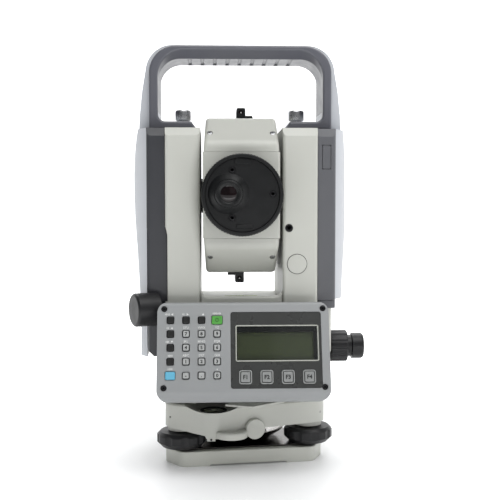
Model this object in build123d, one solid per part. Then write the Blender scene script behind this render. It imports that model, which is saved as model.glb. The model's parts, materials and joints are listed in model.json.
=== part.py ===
from build123d import *
import math
import os

# Surveying total station: tribrach, alidade with keypad panel, tilting telescope, side battery
# and carrying handle. Millimetres. +Z up, operator's side towards -Y. The origin is the mouth of
# the tripod thread, in the plane of the feet, and the vertical axis is the Z axis.

# ------------------------------------------------------------------ driving dimensions
TRUNNION_Z = 214.5            # tilting axis above the tripod face
TOTAL_HEIGHT = 336.0
RUN_FIT = 0.05                # radial clearance of every turning shaft
FREE_GAP = 0.4                # gap between faces that move past each other

# Tribrach
TRIBRACH_TURN = 7.0           # the tribrach stands turned a little under the alidade
FOOT_CIRCLE_R = 60.0
FOOT_ANGLES = {"left": 210 + TRIBRACH_TURN, "right": 330 + TRIBRACH_TURN, "rear": 90 + TRIBRACH_TURN}
BASE_TOP_Z = 12.0
BASE_FLAT_R = 45.0            # axis to each long side of the base plate
BASE_CORNER_R = 68.5          # axis to each cut corner
BASE_CORNER_FILLET = 8.5
BASE_RELIEF = (31.0, 9.0, 1.2)  # half length, depth and height of the relief under each long side
THREAD_R = 7.94               # 5/8 in thread, major radius
THREAD_BOSS_R = 13.0
SPRING_PLATE_T = 1.2
SPRING_DOME_R = 30.0
SPRING_CORNER_R = 9.5
DOME_TOP_Z = 19.0
FOOT_STEM_R = 4.5
KNOB_R = 19.7
KNOB_Z = (14.0, 26.2)
KNOB_LOBES = 9
BODY_Z = (31.0, 49.5)
BODY_LOBE_R = 13.0
SOCKET_R = 30.0
SOCKET_FLOOR_Z = 36.0
LEVEL_X, LEVEL_Y = -22.4, -45.9
LEVEL_R = 10.6
LEVEL_Z = (38.0, 44.8)
LEVEL_DISH_R = (14.5, 24.0)     # radii of the dish round it, at its foot and at the body's top
CLAMP_ANGLE = 289.0           # direction that the front face and its clamp look
CLAMP_SEAT = (9.5, -53.0)     # where the clamp's axis leaves the front face
CLAMP_R = 8.0
CLAMP_CAP_T = 3.6
CLAMP_Z = 31.3
FLANGE_Z = (SOCKET_FLOOR_Z, 51.2)
HEX_FLAT_R = 57.0
SLEEVE_R = 12.0
SPINDLE_BORE_R = 8.0
SLEEVE_TOP_Z = 84.0

# Alidade
HOUSING_BOTTOM_Z = 51.8
HOUSING_HALF_X = 58.0
HOUSING_Y = (-50.0, 53.0)
WALL = 3.0
DECK_PLATE_Z = (92.0, 96.0)
WING_Z = 87.0                 # lower edge of the side housings
WING_X = 72.3
WING_HALF_Y = 42.0
YOKE_BASE_Z = 124.0
YOKE_FLOOR_Z = 130.0
SEAM_Z = 131.0                # joint between the lower housing and the battery
DECK_Z = 267.5                # top of both standards
ARM_X = (32.5, 60.0)
ARM_HALF_Y = 47.0
ARM_WALL = 4.5
# heights and radii of the standards' inner front edges
LEFT_ROUNDING = ((129.0, 3.0), (165.0, 3.6), (190.0, 6.6), (TRUNNION_Z, 8.7), (240.0, 7.2),
                 (268.5, 2.6))
RIGHT_ROUNDING = ((129.0, 2.8), (268.5, 2.8))
YOKE_LIP = (9.0, 4.5, 7.0)    # depth, height and corner radius of the lip that closes the yoke's front
STEP_Z = (183.5, 189.5)       # the left standard narrows here, downwards
STEP_X = 1.4
STEP_DEPTH = 3.0
COVER_X = (60.3, 74.8)
COVER_HALF_Y = 44.0
COVER_WALL = 2.5
BULGE_X = 87.0
BULGE_HALF_Y = 38.0

# Carrying handle
HANDLE_HALF_X = 73.5
HANDLE_BAR = 7.0
HANDLE_TOP_BAR = 11.0
HANDLE_HALF_Y = 25.0
HANDLE_CORNER_R = 22.0
HANDLE_SCOOP_RISE = 6.5       # slanted hollow over the fingers, in the front and rear of the top bar
HANDLE_BAND_HALF_Y = 17.0
LINING_T = 2.2                # the grip's material also lines the inside of the bow
LINING_START = 8.0            # above the feet
HANDLE_FOOT_H = 6.6
HANDLE_FOOT_IN_X = 35.0
HANDLE_LIFT_HOLE_DEPTH = 9.0
RIB_PITCH = 10.3
RIB_COUNT = 9
HANDLE_SCREW_X = 47.0
HANDLE_SCREW_R = 6.4
HANDLE_SCREW_H = 10.5
HANDLE_STEM_R = 3.0

# Telescope
TELE_HALF_X = 30.3
TELE_HALF_Y = 48.0
TELE_SEAM = 34.0              # half height of the middle block
TELE_HALF_Z = 62.3
TELE_TOP_HALF_X = 28.0        # the covers narrow towards the top and bottom
TUBE_BORE_R = 24.0
TRUNNION_R = 9.0
TRUNNION_COLLAR_R = 14.3
TRUNNION_END_X = 56.0
CIRCLE_R = 34.0
CIRCLE_X = (-50.0, -48.0)
EYE_PLATE_R = 28.2
EYE_PLATE_Y = -66.5
FOCUS_RING_R = 31.4
FOCUS_RING_Y = (-68.4, -49.0)
EYEPIECE_X, EYEPIECE_DZ = -10.7, 0.9
EYEPIECE_R = 10.4
EYEPIECE_Y = (-76.2, -71.4)
OBJECTIVE_R = 27.0
OBJECTIVE_Y = 70.0

# Panel
PANEL_CENTRE = (0.5, -77.0, 96.8)
PANEL_TILT = 17.17
PANEL_W, PANEL_H = 131.0, 75.6
PANEL_T = 9.0
PANEL_SKIN = 2.5
PANEL_CORNER_R = 8.5
PANEL_CHIN_R = 8.0
WINDOW_U = (-9.9, 59.4)
WINDOW_V = (-28.5, 29.8)
WINDOW_T = 1.6
LCD_U = (-6.0, 56.0)
LCD_V = (-7.6, 19.2)
PANEL_SCREW_U = (-60.2, 61.0)
PANEL_SCREW_V = (-27.6, 32.3)
KEY_U0, KEY_PITCH_U = -55.4, 11.77
KEY_V0, KEY_PITCH_V = 23.6, 10.5
KEY_COLUMNS, KEY_ROWS = 4, 5
KEY_SIZE = 5.2
POWER_KEY = (8.0, 6.4)
STAR_KEY = (7.4, 6.0)
F_KEY_U0, F_KEY_PITCH, F_KEY_V = 1.2, 16.07, -19.9
F_KEY = (7.4, 8.2)
KEY_PROUD = 1.0
KEY_CLEAR = 0.35

# Knobs on the alidade
TANGENT_TURN = 25.0           # the tangent screw points left and this far towards the operator
TANGENT_BACK = (-67.0, -49.0, 125.6)
TANGENT_R = 13.0
TANGENT_LEN = 18.8
TANGENT_SHAFT_R = 3.0
PLUMMET_Y, PLUMMET_Z = -10.0, 89.4
PLUMMET_X = (74.8, 88.8)
PLUMMET_R = 13.0
PLUMMET_STUB_R = 8.0
PLUMMET_EYE_X = 102.6
PLUMMET_EYE_R = 10.6

EPS = 0.01


# ------------------------------------------------------------------ helpers
def block(x0, x1, y0, y1, z0, z1):
    return Pos((x0 + x1) / 2, (y0 + y1) / 2, (z0 + z1) / 2) * Box(x1 - x0, y1 - y0, z1 - z0)


def rod(radius, start, direction, length):
    seat = Plane(origin=start, z_dir=direction).location
    return seat * Cylinder(radius, length, align=(Align.CENTER, Align.CENTER, Align.MIN))


def upright(radius, z0, z1, x=0.0, y=0.0):
    return rod(radius, (x, y, z0), (0, 0, 1), z1 - z0)


def at_angle(radius, degrees):
    return radius * math.cos(math.radians(degrees)), radius * math.sin(math.radians(degrees))


def foot_point(name):
    return at_angle(FOOT_CIRCLE_R, FOOT_ANGLES[name])


def meet(angle_a, distance_a, angle_b, distance_b):
    """Corner where two lines, given by their normals' angles and distances, cross."""
    ax, ay = at_angle(1, angle_a)
    bx, by = at_angle(1, angle_b)
    det = ax * by - ay * bx
    return (distance_a * by - distance_b * ay) / det, (ax * distance_b - bx * distance_a) / det


def mirrored(shape, keep=True):
    other = mirror(shape, about=Plane.YZ)
    return shape + other if keep else other


# ------------------------------------------------------------------ tribrach
def base_plate():
    corners = []
    for k in range(3):
        side = 270 + 120 * k + TRIBRACH_TURN
        corners.append(meet(side - 60, BASE_CORNER_R, side, BASE_FLAT_R))
        corners.append(meet(side, BASE_FLAT_R, side + 60, BASE_CORNER_R))
    outline = make_face(Polyline(*corners, close=True))
    plate = extrude(outline, BASE_TOP_Z)
    plate = fillet(plate.edges().filter_by(Axis.Z), BASE_CORNER_FILLET)
    plate = fillet(plate.edges().group_by(Axis.Z)[-1], 1.2)
    # a relief under each long side leaves three corner pads
    half, depth, height = BASE_RELIEF
    relief = block(-half, half, -BASE_FLAT_R - 1, -BASE_FLAT_R + depth, -1, height)
    for k in range(3):
        plate -= Rot(0, 0, 120 * k + TRIBRACH_TURN) * relief
    plate -= upright(THREAD_BOSS_R + 0.5, -1, BASE_TOP_Z + 1)
    for name in FOOT_ANGLES:
        x, y = foot_point(name)
        plate -= upright(FOOT_STEM_R + RUN_FIT, 5.0, BASE_TOP_Z + 1, x, y)
    return plate


def spring_plate():
    """Three-cornered leaf spring under the foot screws, with the dished boss of the fixing thread."""
    top = BASE_TOP_Z + SPRING_PLATE_T
    crown_r = 17.0
    hub = make_face(Polyline((THREAD_R, 0), (THREAD_BOSS_R, 0), (THREAD_BOSS_R, BASE_TOP_Z),
                             (SPRING_DOME_R, BASE_TOP_Z), (SPRING_DOME_R, top), (SPRING_DOME_R - 3, top),
                             (crown_r, DOME_TOP_Z), (THREAD_R, DOME_TOP_Z), close=True))
    corners = [Pos(*foot_point(name)) * Circle(SPRING_CORNER_R) for name in FOOT_ANGLES]
    outline = make_hull([edge for corner in corners for edge in corner.edges()])
    sheet = extrude(Pos(0, 0, BASE_TOP_Z) * outline, SPRING_PLATE_T)
    sheet -= upright(SPRING_DOME_R - 1, 0, top + 1)
    for name in FOOT_ANGLES:
        x, y = foot_point(name)
        sheet -= upright(FOOT_STEM_R + 1.5, 0, top + 1, x, y)
    return sheet + revolve(Plane.XZ * hub, Axis.Z)


def foot_screw(name):
    x, y = foot_point(name)
    low, high = KNOB_Z
    knob = upright(KNOB_R, low, high)
    knob = chamfer(knob.edges().group_by(Axis.Z)[0], 4.0)
    knob = chamfer(knob.edges().group_by(Axis.Z)[-1], 2.6)
    scoop_r, scoop_depth = 9.0, 0.9
    for k in range(KNOB_LOBES):
        sx, sy = at_angle(KNOB_R + scoop_r - scoop_depth, 360 * k / KNOB_LOBES)
        knob -= upright(scoop_r, low - 1, high + 1, sx, sy)
    knob += upright(FOOT_STEM_R, 5.6, 47.0)
    return Pos(x, y, 0) * knob


def tribrach_body():
    z0, z1 = BODY_Z
    rims = [Pos(*foot_point(name)) * Circle(BODY_LOBE_R) for name in FOOT_ANGLES]
    rims.append(Pos(LEVEL_X, LEVEL_Y) * Circle(LEVEL_R + 6.4))
    outline = make_hull([edge for rim in rims for edge in rim.edges()])
    body = extrude(Pos(0, 0, z0) * outline, z1 - z0)
    body = fillet(body.edges().group_by(Axis.Z)[-1], 1.5)
    # the front lobe under the circular level hangs lower, with a slanted lower edge
    skirt_low = 25.5
    skirt = make_face(Polyline((-60, z0 + 1), (-60, z0), (-29, 27.6), (-28, skirt_low),
                               (-12, skirt_low), (0, z0), (0, z0 + 1), close=True))
    skirt = Pos(0, -42, 0) * extrude(Plane.XZ * skirt, 40)
    body += skirt & extrude(Pos(0, 0, skirt_low - 1) * outline, z0 + 2 - skirt_low)
    body += block(-27.4, -21.0, -60.8, -57.0, 23.2, skirt_low + 1)
    # dish and pocket of the circular level
    dish_low = LEVEL_Z[1] - 0.6
    body -= Pos(LEVEL_X, LEVEL_Y, dish_low) * Cone(*LEVEL_DISH_R, z1 - dish_low + 0.5,
                                                   align=(Align.CENTER, Align.CENTER, Align.MIN))
    body -= upright(LEVEL_R + 0.1, LEVEL_Z[0], z1 + 1, LEVEL_X, LEVEL_Y)
    # boss of the clamp, under the front face
    body += rod(CLAMP_R - 0.8, along_clamp(-16), clamp_axis(), 16)
    body -= rod(FOOT_STEM_R + RUN_FIT, along_clamp(-13), clamp_axis(), 16)
    # socket for the instrument, and the foot screws' sleeves
    body -= upright(SOCKET_R, SOCKET_FLOOR_Z, z1 + 1)
    body -= upright(20, 0, SOCKET_FLOOR_Z + 1)
    for name in FOOT_ANGLES:
        x, y = foot_point(name)
        body += upright(11.0, 27.4, z0 + 1, x, y)
        body -= upright(FOOT_STEM_R + RUN_FIT, 0, 47.6, x, y)
    return body


def circular_level():
    z0, z1 = LEVEL_Z
    cup = upright(LEVEL_R, z0, z1) - upright(LEVEL_R - 1.6, z0 + 1.5, z1 + 1)
    vial = upright(LEVEL_R - 1.8, z0 + 1.5, z1 - 0.5)
    return Pos(LEVEL_X, LEVEL_Y, 0) * Compound(children=[*cup.solids(), *vial.solids()])


def clamp_axis():
    return (*at_angle(1, CLAMP_ANGLE), 0.0)


def along_clamp(distance):
    dx, dy, _ = clamp_axis()
    return CLAMP_SEAT[0] + distance * dx, CLAMP_SEAT[1] + distance * dy, CLAMP_Z


def tribrach_clamp():
    cap = rod(CLAMP_R, along_clamp(FREE_GAP), clamp_axis(), CLAMP_CAP_T)
    front = cap.faces().sort_by(Axis((0, 0, 0), clamp_axis()))[-1]
    cap = fillet(front.edges(), 0.8)
    return cap + rod(FOOT_STEM_R, along_clamp(-12.5), clamp_axis(), 13)


def base_flange():
    z0, z1 = FLANGE_Z
    plate_z = BODY_Z[1] + 0.2
    hexagon = RegularPolygon(HEX_FLAT_R, 6, major_radius=False, rotation=TRIBRACH_TURN + 30)
    plate = extrude(Pos(0, 0, plate_z) * hexagon, z1 - plate_z)
    plate = fillet(plate.edges().filter_by(Axis.Z), 2.5)
    flange = plate + upright(SOCKET_R - 0.3, z0, z1)
    flange -= upright(LEVEL_R + 3.4, plate_z - 1, z1 + 1, LEVEL_X, LEVEL_Y)
    shoulder_r, shoulder_z = 14.0, 60.0
    flange += upright(shoulder_r, z1 - 1, shoulder_z) + upright(SLEEVE_R, z1 - 1, SLEEVE_TOP_Z)
    flange -= upright(SPINDLE_BORE_R, 0, SLEEVE_TOP_Z + 1)
    circle_t, circle_r = 2.0, 38.0
    circle = upright(circle_r, shoulder_z, shoulder_z + circle_t) - upright(SLEEVE_R + 0.2, 0, 100)
    return Compound(children=[*flange.solids(), *circle.solids()])


# ------------------------------------------------------------------ alidade
def vertical_spindle():
    head_z = SLEEVE_TOP_Z + 2
    shaft = upright(SPINDLE_BORE_R - RUN_FIT, HOUSING_BOTTOM_Z, head_z + 1)
    shaft += upright(22, head_z, DECK_PLATE_Z[0])
    return shaft - upright(5, 0, DECK_PLATE_Z[0] + 1)


def tangent_axis():
    return -math.cos(math.radians(TANGENT_TURN)), -math.sin(math.radians(TANGENT_TURN)), 0.0


def along_tangent(distance):
    axis = tangent_axis()
    return tuple(TANGENT_BACK[i] + distance * axis[i] for i in range(3))


def tangent_clearance():
    """Round pocket that the tangent knob turns in."""
    return rod(TANGENT_R + 1.0, along_tangent(-FREE_GAP), tangent_axis(), TANGENT_LEN + 6)


def tangent_bore():
    return rod(TANGENT_SHAFT_R + RUN_FIT, along_tangent(-20), tangent_axis(), 22)


def lower_housing():
    y0, y1 = HOUSING_Y
    core = block(-HOUSING_HALF_X, HOUSING_HALF_X, y0, y1, HOUSING_BOTTOM_Z, YOKE_BASE_Z)
    core = fillet(core.edges().filter_by(Axis.Z), 12)
    core = fillet(core.edges().group_by(Axis.Z)[0], 3)
    core = fillet(core.edges().group_by(Axis.Z)[-1], 1.5)
    wing = block(HOUSING_HALF_X - 14, WING_X, -WING_HALF_Y, WING_HALF_Y, WING_Z, SEAM_Z)
    wing = chamfer(wing.edges().group_by(Axis.Z)[0].sort_by(Axis.X)[-1], 3)
    wing = fillet(wing.edges().filter_by(Axis.Z).group_by(Axis.X)[-1], 6)
    shell = core + wing - block(0, ARM_X[1] + 0.1, -60, 60, YOKE_BASE_Z, SEAM_Z + 1)
    # two rooms, under and over the deck plate, and the wing's own room beside the upper one
    x_in = HOUSING_HALF_X - WALL
    deck_low, deck_high = DECK_PLATE_Z
    lower_room = block(-x_in, x_in, y0 + WALL, y1 - WALL, HOUSING_BOTTOM_Z + WALL, deck_low)
    upper_room = block(-x_in, x_in, y0 + WALL, y1 - WALL, deck_high, YOKE_BASE_Z - WALL)
    wing_room = block(x_in - 1, WING_X - WALL, -WING_HALF_Y + WALL, WING_HALF_Y - WALL,
                      deck_high, YOKE_BASE_Z - WALL)
    hatch = block(-x_in + 10, x_in - 10, -ARM_HALF_Y + 8, ARM_HALF_Y - 8, deck_high, YOKE_BASE_Z + 1)
    shell -= fillet(lower_room.edges().filter_by(Axis.Z), 9)
    shell -= fillet(upper_room.edges().filter_by(Axis.Z), 9) + wing_room + hatch
    shell -= upright(SLEEVE_R + 3, 0, deck_low - 1)
    shell -= upright(6, deck_low - 1, deck_high + 1)
    # horizontal seat of the optical plummet through the side wall
    shell += rod(PLUMMET_R - 2, (56, PLUMMET_Y, PLUMMET_Z), (1, 0, 0), WING_X + 1.6 - 56)
    shell -= rod(PLUMMET_STUB_R + RUN_FIT, (50, PLUMMET_Y, PLUMMET_Z), (1, 0, 0), 40)
    return shell - tangent_clearance() - tangent_bore()


def inner_rounding(stations):
    """Cutter for a left inner front edge: a quarter round whose radius changes with height."""
    x, y = -ARM_X[0], -ARM_HALF_Y
    beyond = 1.0
    bow = 1 - math.sqrt(0.5)
    sections = []
    for z, radius in stations:
        outline = (Polyline((x - radius, y), (x - radius, y - beyond), (x + beyond, y - beyond),
                            (x + beyond, y + radius), (x, y + radius))
                   + ThreePointArc((x, y + radius), (x - bow * radius, y + bow * radius),
                                   (x - radius, y)))
        sections.append(Pos(0, 0, z) * make_face(outline))
    return loft(sections)


def yoke_lip():
    """Lip along the floor's front edge, running up into both standards with rounded corners."""
    depth, height, corner = YOKE_LIP
    half, low = ARM_X[0], YOKE_FLOOR_Z - 1
    high = YOKE_FLOOR_Z + height + corner
    into_arm = 4.0
    outline = Pos(0, (low + high) / 2) * Rectangle(2 * (half + into_arm), high - low)
    opening = Pos(0, high) * Rectangle(2 * half, 2 * corner)
    opening = fillet(opening.vertices().group_by(Axis.Y)[0], corner - EPS)
    lip = extrude(Pos(0, -ARM_HALF_Y, 0) * (Plane.XZ * (outline - opening)), -depth)
    rims = [e for e in lip.edges() if abs(e.center().Y + ARM_HALF_Y) < EPS
            and abs(e.center().X) < half - EPS and e.center().Z > low + EPS]
    return fillet(rims, 1.5)


def left_step(grow=0.0):
    """Tongue by which the left side cover reaches inwards below the step."""
    z0, z1 = STEP_Z
    x1 = ARM_X[1]
    step_x = x1 - STEP_X - grow
    outline = make_face(Polyline((x1 + 1, SEAM_Z), (x1 + 1, z1), (x1 - grow, z1), (step_x, z0),
                                 (step_x, SEAM_Z), close=True))
    front = -ARM_HALF_Y - 1 if grow else -COVER_HALF_Y
    tongue = extrude(Pos(0, front, 0) * (Plane.XZ * outline), -(STEP_DEPTH - front - COVER_HALF_Y))
    return mirrored(tongue, keep=False)


def yoke_frame():
    x0, x1 = ARM_X
    arm = block(x0, x1, -ARM_HALF_Y, ARM_HALF_Y, YOKE_BASE_Z, DECK_Z)
    base = block(-x1, x1, -ARM_HALF_Y, ARM_HALF_Y, YOKE_BASE_Z, YOKE_FLOOR_Z)
    frame = base + mirrored(arm) + yoke_lip()
    front_top = [e for e in frame.edges().filter_by(Axis.X).group_by(Axis.Z)[-1] if e.center().Y < 0]
    frame = chamfer(front_top, 6.5, 4.0)
    outer = frame.edges().filter_by(Axis.Z).filter_by(lambda e: abs(abs(e.center().X) - x1) < EPS)
    frame = fillet(outer, 2.0)
    frame = frame - inner_rounding(LEFT_ROUNDING) - mirrored(inner_rounding(RIGHT_ROUNDING), keep=False)
    # each standard is a box, open to its side cover
    room = block(x0 + ARM_WALL, x1 + 1, -ARM_HALF_Y + ARM_WALL + 5, ARM_HALF_Y - ARM_WALL,
                 YOKE_FLOOR_Z + 5, DECK_Z - 11)
    frame -= mirrored(room)
    frame -= rod(TRUNNION_R + RUN_FIT, (-x1, 0, TRUNNION_Z), (1, 0, 0), 2 * x1)
    for side in (-1, 1):
        frame -= upright(HANDLE_STEM_R + RUN_FIT, DECK_Z - HANDLE_LIFT_HOLE_DEPTH, DECK_Z + 1,
                         side * HANDLE_SCREW_X)
    # pocket of the plate level in the floor
    half, y = 17.0, -30.0
    frame -= block(-half, half, y - 5, y + 5, YOKE_FLOOR_Z - 2, YOKE_FLOOR_Z + 1)
    return frame - left_step(FREE_GAP) - tangent_clearance() - tangent_bore()


def plate_level():
    half, centre_y, radius = 16.5, -30.0, 4.0
    mount = block(-half, half, centre_y - 4.6, centre_y + 4.6, YOKE_FLOOR_Z - 2, YOKE_FLOOR_Z + 2.5)
    axis_z = YOKE_FLOOR_Z + 1.0
    vial = rod(radius, (-half + 2, centre_y, axis_z), (1, 0, 0), 2 * half - 4)
    mount -= rod(radius + 0.2, (-half + 1.5, centre_y, axis_z), (1, 0, 0), 2 * half - 3)
    vial &= block(-half, half, centre_y - 5, centre_y + 5, YOKE_FLOOR_Z - 1.9, YOKE_FLOOR_Z + 9)
    return Compound(children=[*mount.solids(), *vial.solids()])


def side_frame(z0, z1):
    """Dark rectangular side housing of the right side, open outwards and inwards."""
    x0, x1 = COVER_X
    ring = block(x0, x1, -COVER_HALF_Y, COVER_HALF_Y, z0, z1)
    front_top = [e for e in ring.edges().filter_by(Axis.X).group_by(Axis.Z)[-1] if e.center().Y < 0]
    ring = chamfer(front_top, 6.5, 3.5)
    outer = ring.edges().filter_by(Axis.Z).filter_by(lambda e: abs(e.center().X - x1) < EPS)
    return fillet(outer, 3.0)


def bulge(z_points, z0, z1, wall):
    """Outward-curved side panel: the plan curve carried up, cut to the front view's outline."""
    x0 = COVER_X[1]
    plan = make_face(Line((x0, -BULGE_HALF_Y), (x0, BULGE_HALF_Y))
                     + ThreePointArc((x0, BULGE_HALF_Y), (BULGE_X + 0.6, 0), (x0, -BULGE_HALF_Y)))
    front = make_face(Polyline((z_points[0][0], z0), (x0 - 1, z0), (x0 - 1, z1), (z_points[-1][0], z1))
                      + Spline(*[(x, z) for x, z in reversed(z_points)]))
    panel = extrude(Pos(0, 0, z0) * plan, z1 - z0)
    panel &= extrude(Plane.XZ * front, BULGE_HALF_Y + 2, both=True)
    room_x = min(x for x, z in z_points) - wall
    room_y = BULGE_HALF_Y - 8
    inner_plan = make_face(Line((x0, -room_y), (x0, room_y))
                           + ThreePointArc((x0, room_y), (room_x, 0), (x0, -room_y)))
    return panel - extrude(Pos(0, 0, z0 + wall) * inner_plan, z1 - z0 - 2 * wall)


def left_side_cover():
    x0, x1 = COVER_X
    low_x1 = 74.0
    upper = side_frame(SEAM_Z, DECK_Z)
    lower = block(HOUSING_HALF_X + 0.1, low_x1, -WING_HALF_Y, WING_HALF_Y, WING_Z, SEAM_Z)
    lower = chamfer(lower.edges().group_by(Axis.Z)[0].sort_by(Axis.X)[-1], 4.5)
    lower = fillet(lower.edges().filter_by(Axis.Z).filter_by(lambda e: e.center().X > x0 + 1), 3.0)
    lower -= block(0, x0 - 0.2, -60, 60, YOKE_BASE_Z - FREE_GAP, SEAM_Z + 1)
    cover = upper + lower
    room = block(x0 - 1, x1 + 1, -COVER_HALF_Y + 7, COVER_HALF_Y - 7, SEAM_Z + 5, DECK_Z - 9)
    low_room = block(x0 - 4, low_x1 - COVER_WALL, -WING_HALF_Y + 5, WING_HALF_Y - 5, WING_Z + 5,
                     SEAM_Z - 9)
    # the outer front corner steps in as well, under the same height
    z0, z1 = STEP_Z
    corner = make_face(Polyline((x1 + 1, SEAM_Z - 1), (x1 + 1, z1), (x1, z1), (x1 - STEP_X, z0),
                                (x1 - STEP_X, SEAM_Z - 1), close=True))
    cut = Pos(0, -COVER_HALF_Y - 1, 0) * (Plane.XZ * corner)
    cover -= extrude(cut, -(COVER_HALF_Y + 1 - BULGE_HALF_Y))
    cover = mirrored(cover - room - low_room, keep=False) + left_step()
    return cover - tangent_clearance() - tangent_bore()


def left_outer_cover():
    outline = [(80.6, WING_Z - 1), (81.0, SEAM_Z), (84.8, 186), (87.0, 218), (85.4, 250),
               (82.4, DECK_Z)]
    return mirrored(bulge(outline, WING_Z - 1, DECK_Z, COVER_WALL), keep=False)


def battery_case():
    case = side_frame(SEAM_Z + FREE_GAP, DECK_Z - FREE_GAP)
    x0, x1 = COVER_X
    cells = block(x0 + COVER_WALL, x1 + 1, -COVER_HALF_Y + 7, COVER_HALF_Y - 7, SEAM_Z + 6, DECK_Z - 9)
    case -= cells
    pocket = latch_block(KEY_CLEAR, -COVER_HALF_Y - 1, -COVER_HALF_Y + 4)
    return case - pocket


def latch_block(grow, y0, y1):
    return block(64.0 - grow, 70.4 + grow, y0, y1, 235.4 - grow, 253.8 + grow)


def battery_latch():
    latch = latch_block(0, -COVER_HALF_Y, -COVER_HALF_Y + 2.2)
    return fillet(latch.edges().filter_by(Axis.Y), 1.0)


def battery_cover():
    z0, z1 = SEAM_Z + FREE_GAP, DECK_Z - FREE_GAP
    outline = [(81.9, z0), (84.0, 162), (86.2, 188), (87.0, 215), (85.6, 246), (83.0, z1)]
    return bulge(outline, z0, z1, COVER_WALL)


# ------------------------------------------------------------------ handle
def handle_window(rise=0.0, grow=0.0):
    """Opening for the hand, in X and Z."""
    half_x = HANDLE_HALF_X - HANDLE_BAR + grow
    top = TOTAL_HEIGHT - HANDLE_TOP_BAR + rise + grow
    low = DECK_Z + HANDLE_FOOT_H
    window = Pos(0, (top + low) / 2) * Rectangle(2 * half_x, top - low)
    window = fillet(window.vertices().group_by(Axis.Y)[-1], HANDLE_CORNER_R - 4 + rise / 2 + grow)
    return fillet(window.vertices().group_by(Axis.Y)[0], 6.0)


def handle_outline(half_x, top_z, corner_r):
    """Half-open bow in X and Z with two inward feet, as one face."""
    bow = Pos(0, (top_z + DECK_Z) / 2) * Rectangle(2 * half_x, top_z - DECK_Z)
    bow = fillet(bow.vertices().group_by(Axis.Y)[-1], corner_r)
    inner_low = DECK_Z + HANDLE_FOOT_H
    x, top_x = HANDLE_FOOT_IN_X, HANDLE_FOOT_IN_X + 5.5
    gap = make_face(Polyline((-x, DECK_Z - 1), (x, DECK_Z - 1), (x, DECK_Z), (top_x, inner_low + 1),
                             (-top_x, inner_low + 1), (-x, DECK_Z), close=True))
    return bow - handle_window() - gap


def handle_lining():
    """Band of the grip's material round the inside of the bow, over its whole depth."""
    ring = handle_window(grow=LINING_T) - handle_window()
    band = extrude(Plane.XZ * ring, HANDLE_BAND_HALF_Y, both=True)
    return band & block(-90, 90, -60, 60, DECK_Z + HANDLE_FOOT_H + LINING_START, TOTAL_HEIGHT)


def handle_core():
    z0 = DECK_Z
    flare = make_face(Polyline((-82.0, z0), (82.0, z0), (81.4, 280), (79.6, 298), (76.6, 316))
                      + ThreePointArc((76.6, 316), (70.2, 329.6), (54, TOTAL_HEIGHT))
                      + Line((54, TOTAL_HEIGHT), (-54, TOTAL_HEIGHT))
                      + ThreePointArc((-54, TOTAL_HEIGHT), (-70.2, 329.6), (-76.6, 316))
                      + Polyline((-76.6, 316), (-79.6, 298), (-81.4, 280), (-82.0, z0)))
    bow = handle_outline(90.0, TOTAL_HEIGHT + 10, 5.0) & flare
    core = extrude(Plane.XZ * bow, HANDLE_BAND_HALF_Y, both=True) - handle_lining()
    for side in (-1, 1):
        core -= upright(HANDLE_STEM_R + RUN_FIT, DECK_Z - 1, TOTAL_HEIGHT - 20, side * HANDLE_SCREW_X)
    return core


def handle_grip():
    bow = handle_outline(HANDLE_HALF_X, TOTAL_HEIGHT - 1.2, HANDLE_CORNER_R)
    slab = extrude(Pos(0, -HANDLE_HALF_Y, 0) * (Plane.XZ * bow), -(HANDLE_HALF_Y - HANDLE_BAND_HALF_Y))
    scoop = loft([Plane.XZ.offset(HANDLE_BAND_HALF_Y) * handle_window(),
                  Plane.XZ.offset(HANDLE_HALF_Y) * handle_window(HANDLE_SCOOP_RISE)])
    slab -= scoop
    face_edges = slab.faces().sort_by(Axis.Y)[0].edges()
    front = fillet(face_edges, 2.0)
    rear = mirror(front, about=Plane.XZ)
    lining = handle_lining()
    groove_r, groove_z = 1.6, TOTAL_HEIGHT - HANDLE_TOP_BAR - 0.4
    for k in range(RIB_COUNT):
        x = (k - (RIB_COUNT - 1) / 2) * RIB_PITCH
        lining -= rod(groove_r, (x, -HANDLE_BAND_HALF_Y - 1, groove_z), (0, 1, 0),
                      2 * HANDLE_BAND_HALF_Y + 2)
    return Compound(children=[*front.solids(), *rear.solids(), *lining.solids()])


def handle_screw(side):
    z0 = DECK_Z + HANDLE_FOOT_H + FREE_GAP
    head = upright(HANDLE_SCREW_R, z0, z0 + HANDLE_SCREW_H)
    head = chamfer(head.edges().group_by(Axis.Z)[-1], 0.7)
    collar_z = z0 + 2.2
    neck_r = HANDLE_SCREW_R - 1.2
    head -= upright(HANDLE_SCREW_R + 1, z0 - 1, collar_z) - upright(neck_r, z0 - 1, collar_z)
    stem = upright(HANDLE_STEM_R, DECK_Z - HANDLE_LIFT_HOLE_DEPTH + 0.5, z0 + 1)
    return Pos(side * HANDLE_SCREW_X, 0, 0) * (head + stem)


# ------------------------------------------------------------------ telescope
def telescope_profile():
    """Upper half of the side view, in Y and Z from the trunnion."""
    shoulder_z = 41.0
    half = make_face(Polyline((-TELE_HALF_Y, TELE_SEAM), (-TELE_HALF_Y, shoulder_z), (-25, TELE_HALF_Z),
                              (25, TELE_HALF_Z), (TELE_HALF_Y, shoulder_z), (TELE_HALF_Y, TELE_SEAM),
                              close=True))
    shoulders = half.vertices().filter_by(lambda v: v.Y > shoulder_z - EPS)
    return fillet(shoulders, 9.0)


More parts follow.
